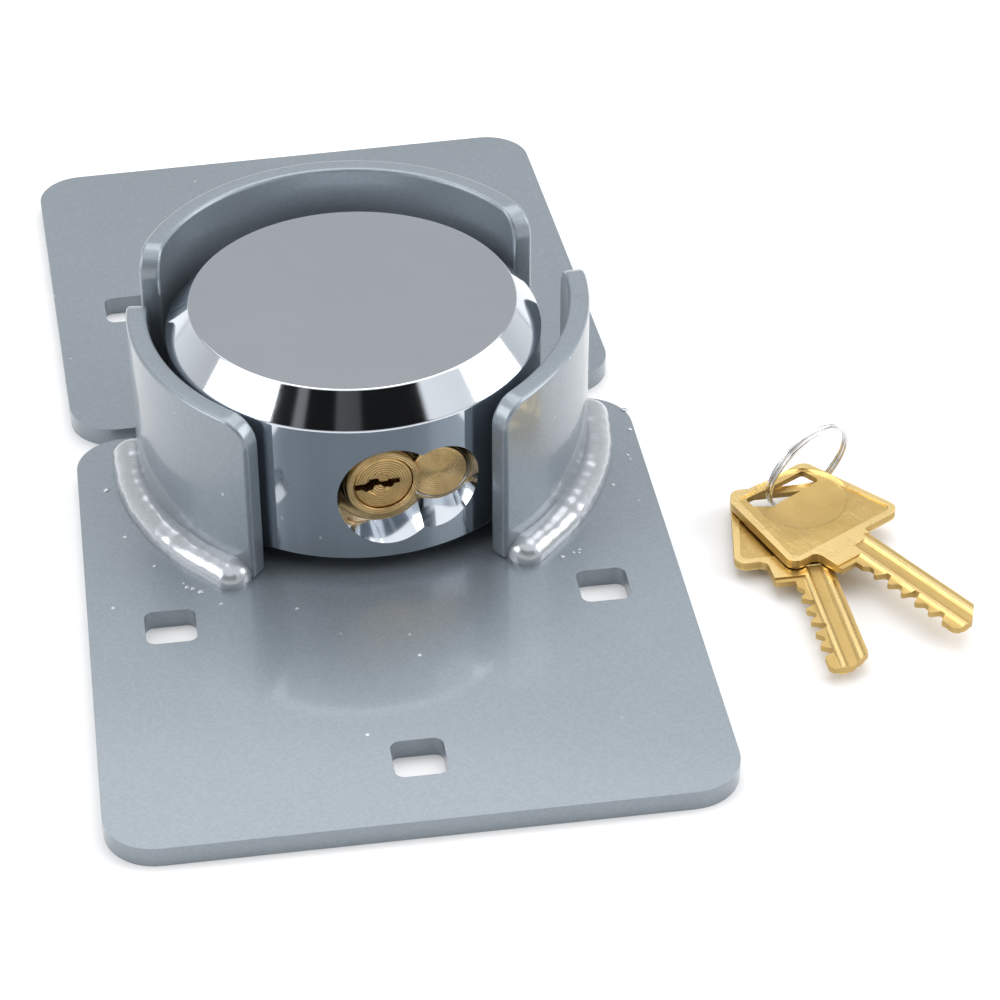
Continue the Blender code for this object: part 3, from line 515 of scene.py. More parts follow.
def beadTree():
    # A weld bead along an arc: rounded, swollen ends, faint ripples and soft lumps.
    shaper = Shaper("weldBead", {
        "Radius": ("Float", 0.05), "Start": ("Float", 0.0), "Sweep": ("Float", 1.0),
        "Width": ("Float", 0.003), "Height": ("Float", 0.003), "Ripple": ("Float", 0.0016),
        "Swell Start": ("Float", 0.3), "Swell End": ("Float", 0.0), "Lump": ("Float", 0.0003),
        "Seed": ("Float", 0.0), "Finish": ("Material", None)})
    arc = shaper.node("GeometryNodeCurveArc", {"mode": "RADIUS"}, {
        "Resolution": 260, "Radius": shaper.given("Radius"), "Start Angle": shaper.given("Start"),
        "Sweep Angle": shaper.given("Sweep")}, "Curve")
    along = shaper.node("GeometryNodeSplineParameter", out="Length")
    whole = shaper.node("GeometryNodeSplineLength", out="Length")
    left = shaper.math("SUBTRACT", whole, along)
    cap = shaper.given("Width")
    ends = []
    for distance in (along, left):
        share = shaper.node("ShaderNodeClamp", values={"Value": shaper.math("DIVIDE", distance, cap)})
        back = shaper.math("SUBTRACT", 1.0, share)
        ends.append(shaper.math("SQRT", shaper.math("SUBTRACT", 1.0, shaper.math("MULTIPLY", back, back))))
    size = shaper.math("MULTIPLY", ends[0], ends[1])
    for distance, label in ((along, "Swell Start"), (left, "Swell End")):
        fall = shaper.math("DIVIDE", distance, shaper.math("MULTIPLY", cap, 1.6))
        bell = shaper.math("EXPONENT", shaper.math("MULTIPLY", shaper.math("MULTIPLY", fall, fall), -1.0))
        grow = shaper.math("ADD", 1.0, shaper.math("MULTIPLY", bell, shaper.given(label)))
        size = shaper.math("MULTIPLY", size, grow)
    phase = shaper.math("MULTIPLY", shaper.math("DIVIDE", along, shaper.given("Ripple")), 2 * math.pi)
    wave = shaper.math("MULTIPLY", shaper.math("SINE", phase), 0.004)
    size = shaper.math("MULTIPLY", size, shaper.math("ADD", 1.0, wave))
    circle = shaper.node("GeometryNodeCurvePrimitiveCircle", {"mode": "RADIUS"}, {
        "Resolution": 28, "Radius": 1.0})
    scale = shaper.node("ShaderNodeCombineXYZ", values={
        "X": shaper.given("Width"), "Y": shaper.given("Height"), "Z": 1.0})
    oval = shaper.node("GeometryNodeTransform", values={"Geometry": circle, "Scale": scale})
    bead = shaper.node("GeometryNodeCurveToMesh", values={
        "Curve": arc, "Profile Curve": oval, "Scale": size, "Fill Caps": True})
    where = shaper.node("GeometryNodeInputPosition")
    shift = shaper.node("ShaderNodeCombineXYZ", values={"X": shaper.given("Seed")})
    moved = shaper.node("ShaderNodeVectorMath", {"operation": "ADD"}, {0: where, 1: shift})
    grain = shaper.node("ShaderNodeTexNoise", values={
        "Vector": moved, "Scale": 150.0, "Detail": 1.0}, out="Fac")
    normal = shaper.node("GeometryNodeInputNormal")
    amount = shaper.math("MULTIPLY", shaper.math("SUBTRACT", grain, 0.5), shaper.given("Lump"))
    offset = shaper.node("ShaderNodeVectorMath", {"operation": "SCALE"}, {0: normal, "Scale": amount})
    shaped = shaper.node("GeometryNodeSetPosition", values={"Geometry": bead, "Offset": offset})
    shaper.close(shaped)
    return shaper


def spatterTree():
    # Small round droplets scattered in a band beside a weld.
    shaper = Shaper("weldSpatter", {
        "Count": ("Int", 12), "Inner": ("Float", 0.05), "Outer": ("Float", 0.06), "Start": ("Float", 0.0),
        "Sweep": ("Float", 1.0), "Drop": ("Float", 0.0004), "Seed": ("Int", 1), "Finish": ("Material", None)})
    points = shaper.node("GeometryNodePoints", values={"Count": shaper.given("Count")})
    seed = shaper.given("Seed")
    finish = shaper.math("ADD", shaper.given("Start"), shaper.given("Sweep"))
    angle = shaper.node("FunctionNodeRandomValue", {"data_type": "FLOAT"}, {
        2: shaper.given("Start"), 3: finish, "Seed": seed}, 1)
    radius = shaper.node("FunctionNodeRandomValue", {"data_type": "FLOAT"}, {
        2: shaper.given("Inner"), 3: shaper.given("Outer"), "Seed": shaper.math("ADD", seed, 7.0)}, 1)
    size = shaper.node("FunctionNodeRandomValue", {"data_type": "FLOAT"}, {
        2: shaper.math("MULTIPLY", shaper.given("Drop"), 0.35), 3: shaper.given("Drop"),
        "Seed": shaper.math("ADD", seed, 13.0)}, 1)
    spot = shaper.node("ShaderNodeCombineXYZ", values={
        "X": shaper.math("MULTIPLY", radius, shaper.math("COSINE", angle)),
        "Y": shaper.math("MULTIPLY", radius, shaper.math("SINE", angle))})
    placed = shaper.node("GeometryNodeSetPosition", values={"Geometry": points, "Position": spot})
    drop = shaper.node("GeometryNodeMeshIcoSphere", values={"Radius": 1.0, "Subdivisions": 2}, out="Mesh")
    flat = shaper.node("GeometryNodeTransform", values={"Geometry": drop, "Scale": (1.0, 1.0, 0.55)})
    many = shaper.node("GeometryNodeInstanceOnPoints", values={
        "Points": placed, "Instance": flat, "Scale": size})
    shaper.close(many)
    return shaper


def ringTree():
    # Two turns of wire side by side, stepping across where its ends meet it.
    shaper = Shaper("splitRing", {
        "Turns": ("Float", 2.0), "Radius": ("Float", 0.01), "Pitch": ("Float", 0.001),
        "Jog": ("Float", 0.07), "Wire": ("Float", 0.0005), "Finish": ("Material", None)})
    coil = shaper.node("GeometryNodeCurveSpiral", values={
        "Resolution": 96, "Rotations": shaper.given("Turns"), "Start Radius": shaper.given("Radius"),
        "End Radius": shaper.given("Radius"), "Height": 0.0})
    along = shaper.node("GeometryNodeSplineParameter", out="Factor")
    past = shaper.math("SUBTRACT", along, 0.5)
    ramp = shaper.math("ADD", shaper.math("DIVIDE", past, shaper.given("Jog")), 0.5)
    share = shaper.node("ShaderNodeMapRange", {"interpolation_type": "SMOOTHSTEP"}, {"Value": ramp}, "Result")
    lift = shaper.math("MULTIPLY", shaper.math("SUBTRACT", share, 0.5), shaper.given("Pitch"))
    offset = shaper.node("ShaderNodeCombineXYZ", values={"Z": lift})
    stepped = shaper.node("GeometryNodeSetPosition", values={"Geometry": coil, "Offset": offset})
    wire = shaper.node("GeometryNodeCurvePrimitiveCircle", {"mode": "RADIUS"}, {
        "Resolution": 20, "Radius": shaper.given("Wire")})
    tube = shaper.node("GeometryNodeCurveToMesh", values={
        "Curve": stepped, "Profile Curve": wire, "Fill Caps": True})
    shaper.close(tube)
    return shaper


plateSizes = {
    "width": 112.8 * mm, "frontLength": 122.1 * mm, "rearLength": 102.4 * mm, "corner": 9.6 * mm,
    "hole": 9.6 * mm, "holeCorner": 1.8 * mm, "sideInset": 15.3 * mm, "seamInset": 61.9 * mm,
    "rearInset": 44.6 * mm, "endInset": 16.6 * mm, "edge": 0.7 * mm, "rearNear": 21.0 * mm,
    "rearShift": 1.1 * mm, "rearTurn": math.radians(2.3)}
plateLook = {
    "dark": (0.205, 0.240, 0.272), "light": (0.265, 0.305, 0.340), "metallic": 0.45, "coat": 0.7,
    "coatRoughness": 0.09, "roughness": 0.30, "nibScale": 95.0, "nibWhite": 0.6, "wave": 0.7, "bump": 0.35}
placeRear = placeStraight @ Matrix.Rotation(plateSizes["rearTurn"], 4, "Z")


def platePiece(name, low, high, holes, place, material):
    corners = [(high[0], high[1]), (low[0], high[1]), (low[0], low[1]), (high[0], low[1])]
    loops = [roundedLoop(corners, plateSizes["corner"], 14)]
    half = plateSizes["hole"] / 2
    for x, y in holes:
        square = [(x + half, y + half), (x - half, y + half), (x - half, y - half), (x + half, y - half)]
        loops.append(roundedLoop(square, plateSizes["holeCorner"], 6))
    piece = addPiece(name, outlineMesh(name, loops, 0.0, plateTop), material)
    bevelPiece(piece, plateSizes["edge"])
    return bakePiece(piece, place, weigh=True)


def makePlates(material):
    half = plateSizes["width"] / 2
    seam = plateSizes["frontLength"] / 2
    sideX = half - plateSizes["sideInset"]
    sideY = seam - plateSizes["seamInset"]
    holes = [(-sideX, sideY), (sideX, sideY), (0.0, -seam + plateSizes["endInset"])]
    front = platePiece("frontPlate", (-half, -seam), (half, seam), holes, None, material)
    keep(front, "hasp", "plate_paint", "front_plate")
    near = plateSizes["rearNear"]
    far = near + plateSizes["rearLength"]
    middle = plateSizes["rearShift"]
    rearY = near + plateSizes["rearInset"]
    holes = [(middle - sideX, rearY), (middle + sideX, rearY), (middle, far - plateSizes["endInset"])]
    rear = platePiece("rearPlate", (middle - half, near), (middle + half, far), holes, placeRear, material)
    keep(rear, "hasp", "plate_paint", "rear_plate")
    print("plates made")


guardSizes = {
    "left": {"x": 7.2, "y": 5.4, "radius": 46.7, "start": 169.9, "end": 232.2},
    "right": {"x": -8.4, "y": 9.0, "radius": 51.6, "start": -54.0, "end": 5.2},
    "rear": {"x": -0.5, "y": 4.3, "radius": 37.0, "start": 19.9, "end": 165.8},
    "thick": 4.1 * mm, "corner": 5.5 * mm, "edge": 0.75 * mm, "stations": 56}
weldSizes = {
    "left": {"lead": 2.0, "trail": 0.5, "swellStart": 0.03, "swellEnd": 0.14, "width": 4.1, "height": 3.35},
    "right": {"lead": 0.5, "trail": 2.0, "swellStart": 0.14, "swellEnd": 0.03, "width": 4.1, "height": 3.35},
    "rear": {"lead": 13.0, "trail": 13.0, "swellStart": 0.1, "swellEnd": 0.1, "width": 4.0, "height": 3.3},
    "ripple": 3.1 * mm, "lump": 0.55 * mm, "out": 1.0 * mm, "up": 0.5 * mm}
spatterSizes = {"count": 9, "inner": 6.2 * mm, "outer": 9.5 * mm, "drop": 0.7 * mm, "seed": 3}


def guardPiece(side, material):
    # A flat strip with rounded top corners, rolled to its arc.
    shape = guardSizes[side]
    low = plateTop
    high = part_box("guard_" + side)[1].z
    thick = guardSizes["thick"]
    inner = shape["radius"] * mm
    start = math.radians(shape["start"])
    sweep = math.radians(shape["end"] - shape["start"])
    middle = inner + thick / 2
    length = middle * sweep
    corner = guardSizes["corner"]
    loop = roundedLoop([(length, high), (0.0, high), (0.0, low), (length, low)], [corner, corner, 0, 0], 12)
    piece = addPiece("guard" + side.capitalize(), outlineMesh("strip", [loop], 0.0, thick), material)
    bevelPiece(piece, guardSizes["edge"])
    bakePiece(piece)
    work = bmesh.new()
    work.from_mesh(piece.data)
    for step in range(1, guardSizes["stations"]):
        cut = (length * step / guardSizes["stations"], 0, 0)
        everything = work.verts[:] + work.edges[:] + work.faces[:]
        bmesh.ops.bisect_plane(work, geom=everything, dist=1e-7, plane_co=cut, plane_no=(1, 0, 0))
    if "custom_normal" in piece.data.attributes:
        piece.data.attributes.remove(piece.data.attributes["custom_normal"])
    for vert in work.verts:
        angle = start + vert.co.x / middle
        radius = inner + vert.co.z
        x = shape["x"] * mm + radius * math.cos(angle)
        y = shape["y"] * mm + radius * math.sin(angle)
        vert.co = (x, y, vert.co.y)
    work.to_mesh(piece.data)
    work.free()
    bakePiece(piece, placeStraight, 40)
    bakePiece(piece, weigh=True)
    return keep(piece, "hasp", "plate_paint", "guard_" + side)


def makeGuards(paint, weldHighlightCoat):
    beads = beadTree()
    spatter = spatterTree()
    for number, side in enumerate(("left", "right", "rear")):
        guardPiece(side, paint)
        shape = guardSizes[side]
        weld = weldSizes[side]
        outer = shape["radius"] * mm + guardSizes["thick"]
        start = math.radians(shape["start"] + weld["lead"])
        sweep = math.radians(shape["end"] - weld["trail"]) - start
        center = Vector((shape["x"] * mm, shape["y"] * mm, plateTop))
        place = placeStraight @ Matrix.Translation(center + Vector((0, 0, weldSizes["up"])))
        bead = beads.make("weld" + side.capitalize(), {
            "Radius": outer + weldSizes["out"], "Start": start, "Sweep": sweep, "Width": weld["width"] * mm,
            "Height": weld["height"] * mm, "Ripple": weldSizes["ripple"], "Swell Start": weld["swellStart"],
            "Swell End": weld["swellEnd"], "Lump": weldSizes["lump"], "Seed": number * 0.37,
            "Finish": weldHighlightCoat}, place)
        keep(bead, "hasp", "plate_paint", "weld_" + side)
        drops = spatter.make("spatter" + side.capitalize(), {
            "Count": spatterSizes["count"], "Inner": outer + spatterSizes["inner"],
            "Outer": outer + spatterSizes["outer"], "Start": start, "Sweep": sweep,
            "Drop": spatterSizes["drop"], "Seed": spatterSizes["seed"] + number,
            "Finish": weldHighlightCoat}, placeStraight @ Matrix.Translation(center))
        keep(drops, "hasp", "plate_paint")
    print("guards and welds made")


lockSizes = {
    "radius": 36.5 * mm, "chamferIn": 4.87 * mm, "chamferDown": 6.15 * mm, "footChamfer": 1.0 * mm,
    "coverRadius": 33.3 * mm, "coverDepth": 3.3 * mm, "slotHalf": 7.0 * mm, "slotFront": -8.5 * mm,
    "slotBack": 30.5 * mm, "slotTop": 31.3 * mm, "eyeY": 4.0 * mm, "eyeZ": 20.0 * mm, "boltRadius": 5.8 * mm,
    "pocketLeft": -30.4 * mm, "pocketFront": -16.9 * mm, "pocketBack": -10.6 * mm, "pocketRight": 20.36 * mm,
    "pocketTop": 32.25 * mm, "segments": 256}
chromeLook = {
    "dark": (0.585, 0.625, 0.675), "light": (0.665, 0.705, 0.755), "roughness": 0.035, "bump": 0.35}
keySizes = {
    "plugX": -2.2 * mm, "plugZ": 21.8 * mm, "lobeGap": 10.9 * mm, "shellRadius": 7.1 * mm,
    "lobeRadius": 5.6 * mm, "plugRadius": 5.6 * mm, "faceAt": 32.0 * mm, "backAt": 17.8 * mm,
    "lobeBack": 1.0 * mm, "plugBack": 0.3 * mm, "recessFloor": 30.6 * mm, "tailRadius": 2.0 * mm,
    "tailEnd": 10.9 * mm}
keywayLine = [
    (-6.8, 0.55), (-6.8, -0.75), (-4.2, -0.75), (-3.5, -1.35), (-2.1, -1.35), (-1.7, -0.5), (-0.4, -0.5),
    (0.1, -1.1), (1.7, -1.1), (2.1, -0.35), (3.2, -0.35), (3.2, 0.75), (1.2, 0.75), (0.8, 0.25),
    (-0.6, 0.25), (-1.0, 1.15), (-2.6, 1.15), (-3.0, 0.55)]


def facing(x, z):
    # Local Z out of the key face, local X to the right.
    turn = Matrix(((1, 0, 0, 0), (0, 0, -1, 0), (0, 1, 0, 0), (0, 0, 0, 1)))
    return placeLock @ Matrix.Translation((x, 0, z)) @ turn


def makeLockShell(material):
    low = lockLow.z
    high = lockHigh.z
    radius = lockSizes["radius"]
    foot = lockSizes["footChamfer"]
    line = [
        (0.0, high), (radius - lockSizes["chamferIn"], high), (radius, high - lockSizes["chamferDown"]),
        (radius, low + foot), (radius - foot, low), (lockSizes["coverRadius"], low),
        (lockSizes["coverRadius"], low + lockSizes["coverDepth"]), (0.0, low + lockSizes["coverDepth"])]
    line = roundedLoop(line, [0, 0.5 * mm, 0.9 * mm, 0.3 * mm, 0.3 * mm, 0.15 * mm, 0, 0], 5, closed=False)
    shell = addPiece("lockShell", turnedMesh("lockShell", line, lockSizes["segments"], placeLock), material)
    under = low + lockSizes["coverDepth"] - mm
    half = lockSizes["slotHalf"]
    boltBack = lockSizes["eyeY"] + lockSizes["boltRadius"]
    cutPiece(shell, boxMesh("slot", (-half, lockSizes["slotFront"], under),
                            (half, lockSizes["slotBack"], lockSizes["slotTop"]), placeLock))
    cutPiece(shell, boxMesh("arm", (lockSizes["pocketLeft"], lockSizes["pocketFront"] - 0.1 * mm, under),
                            (-half + 0.3 * mm, boltBack, lockSizes["pocketTop"]), placeLock))
    cutPiece(shell, boxMesh("rack", (-2 * half, lockSizes["pocketFront"], under),
                            (lockSizes["pocketRight"], lockSizes["pocketBack"],
                             lockSizes["pocketTop"] + 0.1 * mm), placeLock))
    turn = Matrix(((0, 0, 1, 0), (1, 0, 0, 0), (0, 1, 0, 0), (0, 0, 0, 1)))
    across = placeLock @ Matrix.Translation((0, lockSizes["eyeY"], lockSizes["eyeZ"])) @ turn
    bolt = lockSizes["boltRadius"]
    line = [(0, 15 * mm), (bolt, 15 * mm), (bolt, 2 * mm), (0, 2 * mm)]
    cutPiece(shell, turnedMesh("socket", line, 48, across))
    floor = keySizes["recessFloor"]
    out = radius + mm
    for x, bore, flare in ((keySizes["plugX"], keySizes["shellRadius"], 3.1 * mm),
                           (keySizes["plugX"] + keySizes["lobeGap"], keySizes["lobeRadius"], 3.4 * mm)):
        wide = bore + 0.5 * mm + flare * (out - floor) / (radius - floor)
        line = [(0, out), (wide, out), (bore + 0.5 * mm, floor), (bore + 0.3 * mm, floor - 0.1 * mm),
                (bore + 0.3 * mm, keySizes["backAt"] - 2 * mm), (0, keySizes["backAt"] - 2 * mm)]
        cutPiece(shell, turnedMesh("recess", line, 128, facing(x, keySizes["plugZ"])))
    bakePiece(shell, None, 40)
    bakePiece(shell, weigh=True)
    return keep(shell, "padlock", "lock_chrome", "lock_body")


def makeCylinder(brass, plugBrass):
    x = keySizes["plugX"]
    z = keySizes["plugZ"]
    face = keySizes["faceAt"]
    back = keySizes["backAt"]
    shellR = keySizes["shellRadius"]
    lobeR = keySizes["lobeRadius"]
    plugR = keySizes["plugRadius"]
    line = roundedLoop([(0, face), (shellR, face), (shellR, back), (0, back)],
                       [0, 0.35 * mm, 0, 0], 4, closed=False)
    shell = addPiece("cylinderShell", turnedMesh("shell", line, 96, facing(x, z)), brass)
    lobeFace = face - keySizes["lobeBack"]
    line = roundedLoop([(0, lobeFace), (lobeR, lobeFace), (lobeR, back + 0.02 * mm), (0, back + 0.02 * mm)],
                       [0, 0.3 * mm, 0, 0], 4, closed=False)
    cutPiece(shell, turnedMesh("lobe", line, 96, facing(x + keySizes["lobeGap"], z)), "UNION")
    bore = plugR + 0.15 * mm
    line = [(0, face + mm), (bore + 1.2 * mm, face + mm), (bore, face - 0.2 * mm),
            (bore, back - mm), (0, back - mm)]
    cutPiece(shell, turnedMesh("bore", line, 96, facing(x, z)))
    coat(shell, brass)
    keep(shell, "padlock", "cylinder_brass", "cylinder_shell")
    plugFace = face - keySizes["plugBack"]
    tail = keySizes["tailRadius"]
    line = [(0, plugFace), (plugR, plugFace), (plugR, back - 0.4 * mm), (tail, back - 0.4 * mm),
            (tail, keySizes["tailEnd"]), (0, keySizes["tailEnd"])]
    line = roundedLoop(line, [0, 0.3 * mm, 0.2 * mm, 0, 0.2 * mm, 0], 4, closed=False)
    plug = addPiece("keyPlug", turnedMesh("plug", line, 96, facing(x, z)), plugBrass)
    loop = [(across * mm, up * mm) for across, up in reversed(keywayLine)]
    cutPiece(plug, outlineMesh("keyway", [loop], back - 0.39 * mm, face + mm, facing(x, z)))
    line = [(0, plugFace + mm), (3.4 * mm, plugFace + mm), (2.2 * mm, plugFace - 0.28 * mm),
            (0, plugFace - 0.42 * mm)]
    cutPiece(plug, turnedMesh("dish", line, 64, facing(x - 1.0 * mm, z)))
    coat(plug, plugBrass)
    keep(plug, "plug_unit", "cylinder_brass", "plug")
    print("lock and cylinder made")


bladeSizes = {
    "thick": 1.9 * mm, "bowLength": 23.3 * mm, "bowNarrow": 20.2 * mm, "bowWide": 29.0 * mm,
    "bowCorner": 2.2 * mm, "bladeLength": 33.2 * mm, "left": -4.2 * mm, "right": 3.9 * mm,
    "collarLength": 6.6 * mm, "collarLeft": -7.9 * mm, "cuts": (1.0, 2.0, 1.4, 2.4, 1.2, 1.8),
    "rim": 1.25 * mm, "sunk": 0.28 * mm, "edge": 0.13 * mm,
    "dish": {"across": 10.4 * mm, "along": 9.6 * mm, "round": 0.62 * mm, "deep": 0.36 * mm,
             "turn": math.radians(24), "x": 1.2 * mm, "y": -9.0 * mm},
    "hole": [(-7.6, -4.6), (-4.4, -6.9), (-1.6, -6.5), (8.6, -6.2), (8.0, -1.9), (-7.3, -1.9)],
    "grooves": [(-1.3, 1.9, 0.36, 0.4), (2.6, 6.5, 0.34, -0.9), (-9.5, -2.0, 0.38, 3.3)],
    "grooveOut": 0.23 * mm, "grooveRun": 0.70 * mm, "grooveRise": 0.1 * mm}
keyPlaces = {
    "lower": {"x": 81.20, "y": -20.67, "turn": 0.82},
    "upper": {"x": 78.22, "y": -21.36, "turn": 29.95}}
# The raised-face colour is a painted highlight; the groove colour is painted shade on the groove floors and
# also tints the dark specks.
keyLook = {
    "light": (0.74, 0.53, 0.21), "dark": (0.50, 0.335, 0.11), "groove": (0.46, 0.33, 0.13),
    "paintedHighlight": (0.90, 0.68, 0.31), "roughness": 0.20, "bump": 0.5, "thick": bladeSizes["thick"],
    "grooveDeep": 0.335 * mm, "grooveShallow": 0.30 * mm}
ringSizes = {
    "yaw": math.radians(30.6), "lean": math.radians(13.9), "radius": 9.9 * mm, "wire": 0.39 * mm,
    "pitch": 0.88 * mm, "seam": math.radians(200), "jog": math.radians(50), "endGap": math.radians(4)}


def keyLoop():
    # Outline with the blade along -Y and the cuts on the -X side.
    wide = bladeSizes["bowWide"] / 2
    narrow = bladeSizes["bowNarrow"] / 2
    low = -bladeSizes["bowLength"]
    left = bladeSizes["left"]
    right = bladeSizes["right"]
    collarLeft = bladeSizes["collarLeft"]
    collar = low - bladeSizes["collarLength"]
    tip = low - bladeSizes["bladeLength"]
    corner = bladeSizes["bowCorner"]
    points = [(wide, low), (narrow, 0.0), (-narrow, 0.0), (-wide, low)]
    radii = [corner] * 4
    points += [(collarLeft - 0.4 * mm, low), (collarLeft, collar), (left, collar)]
    radii += [1.4 * mm, 0.5 * mm, 0.0]
    pitch = (bladeSizes["bladeLength"] - bladeSizes["collarLength"] - 5 * mm) / len(bladeSizes["cuts"])
    for index, depth in enumerate(bladeSizes["cuts"]):
        middle = collar - 1.5 * mm - pitch * (index + 0.5)
        cut = left + depth * mm
        points += [(left, middle + pitch * 0.42), (cut, middle + 0.5 * mm)]
        points += [(cut, middle - 0.5 * mm), (left, middle - pitch * 0.42)]
        radii += [0.12 * mm] * 4
    points += [(left, tip + 1.0 * mm), (left + 0.8 * mm, tip), (0.0, tip), (right, tip + 3.4 * mm)]
    radii += [0.2 * mm, 0.3 * mm, 0.5 * mm, 0.8 * mm]
    points += [(right, low)]
    radii += [1.2 * mm]
    return roundedLoop(points, radii, 5)


def keyPiece(name, material, place):
    thick = bladeSizes["thick"]
    hole = roundedLoop([(x * mm, y * mm) for x, y in bladeSizes["hole"]], 0.7 * mm, 5)
    key = addPiece(name, outlineMesh(name, [keyLoop(), hole], 0.0, thick), material)
    rim = bladeSizes["rim"]
    wide = bladeSizes["bowWide"] / 2 - rim * 1.2
    narrow = bladeSizes["bowNarrow"] / 2 - rim * 1.15
    low = -bladeSizes["bowLength"] + rim
    panel = roundedLoop([(wide, low), (narrow, -rim), (-narrow, -rim), (-wide, low)], 1.3 * mm, 6)
    sunk = bladeSizes["sunk"]
    for bottom, top in ((thick - sunk, thick + mm), (-mm, sunk)):
        cutPiece(key, outlineMesh("panel", [panel], bottom, top))
    bevelPiece(key, bladeSizes["edge"], 2, 40)
    bakePiece(key)
    dish = bladeSizes["dish"]
    work = bmesh.new()
    bmesh.ops.create_uvsphere(work, u_segments=96, v_segments=64, radius=1.0)
    bmesh.ops.scale(work, vec=(dish["across"], dish["along"], dish["round"]), verts=work.verts)
    bmesh.ops.rotate(work, matrix=Matrix.Rotation(dish["turn"], 3, "Z"), verts=work.verts)
    height = thick - sunk - dish["deep"] + dish["round"]
    bmesh.ops.translate(work, vec=(dish["x"], dish["y"], height), verts=work.verts)
    thumb = bpy.data.meshes.new("thumb")
    work.to_mesh(thumb)
    work.free()
    cutPiece(key, thumb)
    start = -bladeSizes["bowLength"] - 2.2 * mm
    end = -bladeSizes["bowLength"] - bladeSizes["bladeLength"] - mm
    out = bladeSizes["grooveOut"]
    run = bladeSizes["grooveRun"]
    rise = bladeSizes["grooveRise"]
    turn = Matrix(((1, 0, 0, 0), (0, 0, 1, 0), (0, 1, 0, 0), (0, 0, 0, 1)))
    for left, right, depth, head in bladeSizes["grooves"]:
        mouth = start - head * mm
        for side in (1, -1):
            near = thick if side == 1 else 0.0
            floor = near - side * depth * mm
            section = [(left * mm - out, near + side * rise), (left * mm + run, floor),
                       (right * mm - run, floor), (right * mm + out, near + side * rise)]
            cutPiece(key, outlineMesh("groove", [section], end, mouth, turn))
    bakePiece(key, place, 16)
    bakePiece(key, weigh=True)
    coat(key, material)
    return key


def makeKeys(wireFinish):
    for which in ("lower", "upper"):
        spot = keyPlaces[which]
        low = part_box("key_" + which)[0].z
        center = (lockCenter.x + 0.5 * mm + spot["x"] * mm, lockCenter.y + spot["y"] * mm, low)
        place = Matrix.Translation(center) @ Matrix.Rotation(math.radians(spot["turn"]), 4, "Z")
        material = keyBrass("keyBrass" + which.capitalize(), place, keyLook)
        key = keyPiece("key" + which.capitalize(), material, place)
        keep(key, "loose_key" if which == "upper" else "key_set", "key_brass", "key_" + which)
    level = Vector((math.cos(ringSizes["yaw"]), math.sin(ringSizes["yaw"]), 0.0))
    flat = math.cos(ringSizes["lean"])
    normal = Vector((level.y * flat, -level.x * flat, -math.sin(ringSizes["lean"])))
    rise = normal.cross(level)
    ringLow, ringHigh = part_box("split_ring")
    center = (ringLow + ringHigh) / 2
    turn = Matrix((level, rise, normal)).transposed().to_4x4()
    start = ringSizes["jog"] / 2 + ringSizes["endGap"]
    sweep = 4 * math.pi - 2 * start
    place = Matrix.Translation(center) @ turn @ Matrix.Rotation(ringSizes["seam"] + start, 4, "Z")
    ring = ringTree().make("splitRing", {
        "Turns": sweep / (2 * math.pi), "Radius": ringSizes["radius"], "Pitch": ringSizes["pitch"],
        "Jog": ringSizes["jog"] / sweep, "Wire": ringSizes["wire"], "Finish": wireFinish}, place)
    keep(ring, "key_set", "ring_nickel", "split_ring")
    print("keys and ring made")


def coatNodes(finishes):
    # Hidden hardware keeps its CAD shape and gets a finish.
    for name, node in frame["nodes"].items():
        for start, material in finishes:
            if name.startswith(start):
                coat(node, material)
                break
    print("hardware coated")


viewSizes = {
    "azimuth": -8.656, "elevation": 36.664, "distance": 604.35 * mm, "targetX": 26.5 * mm,
    "targetY": 34.06 * mm, "roll": -0.12, "lens": 109.05}
lampPower = {"overhead": 5.5, "left": 6.6, "right": 6.4}
worldLook = {
    "strength": 1.25,
    "stops": [(0.0, 0.80), (0.30, 0.55), (0.50, 0.44), (0.68, 0.48), (0.80, 0.95), (1.0, 1.0)],
    "band": (0.36, 0.76),
    "strips": [(-125, 0.5), (-105, 0.85), (-74, 0.9), (-71, 0.01), (-47, 0.01), (-45, 0.22), (-40, 0.20),
               (-38, 0.01), (-20, 0.01), (-18, 0.09), (-4, 0.07), (-1, 0.01), (38, 0.01), (41, 0.95),
               (105, 0.85), (125, 0.5)]}


def softLamp(name, spot, aim, size, power):
    lamp = bpy.data.lights.new(name, "AREA")
    lamp.shape = "RECTANGLE"
    lamp.size = size[0]
    lamp.size_y = size[1]
    lamp.energy = power
    holder = bpy.data.objects.new(name, lamp)
    bpy.context.scene.collection.objects.link(holder)
    holder.location = spot
    holder.rotation_euler = (Vector(aim) - Vector(spot)).to_track_quat("-Z", "Y").to_euler()


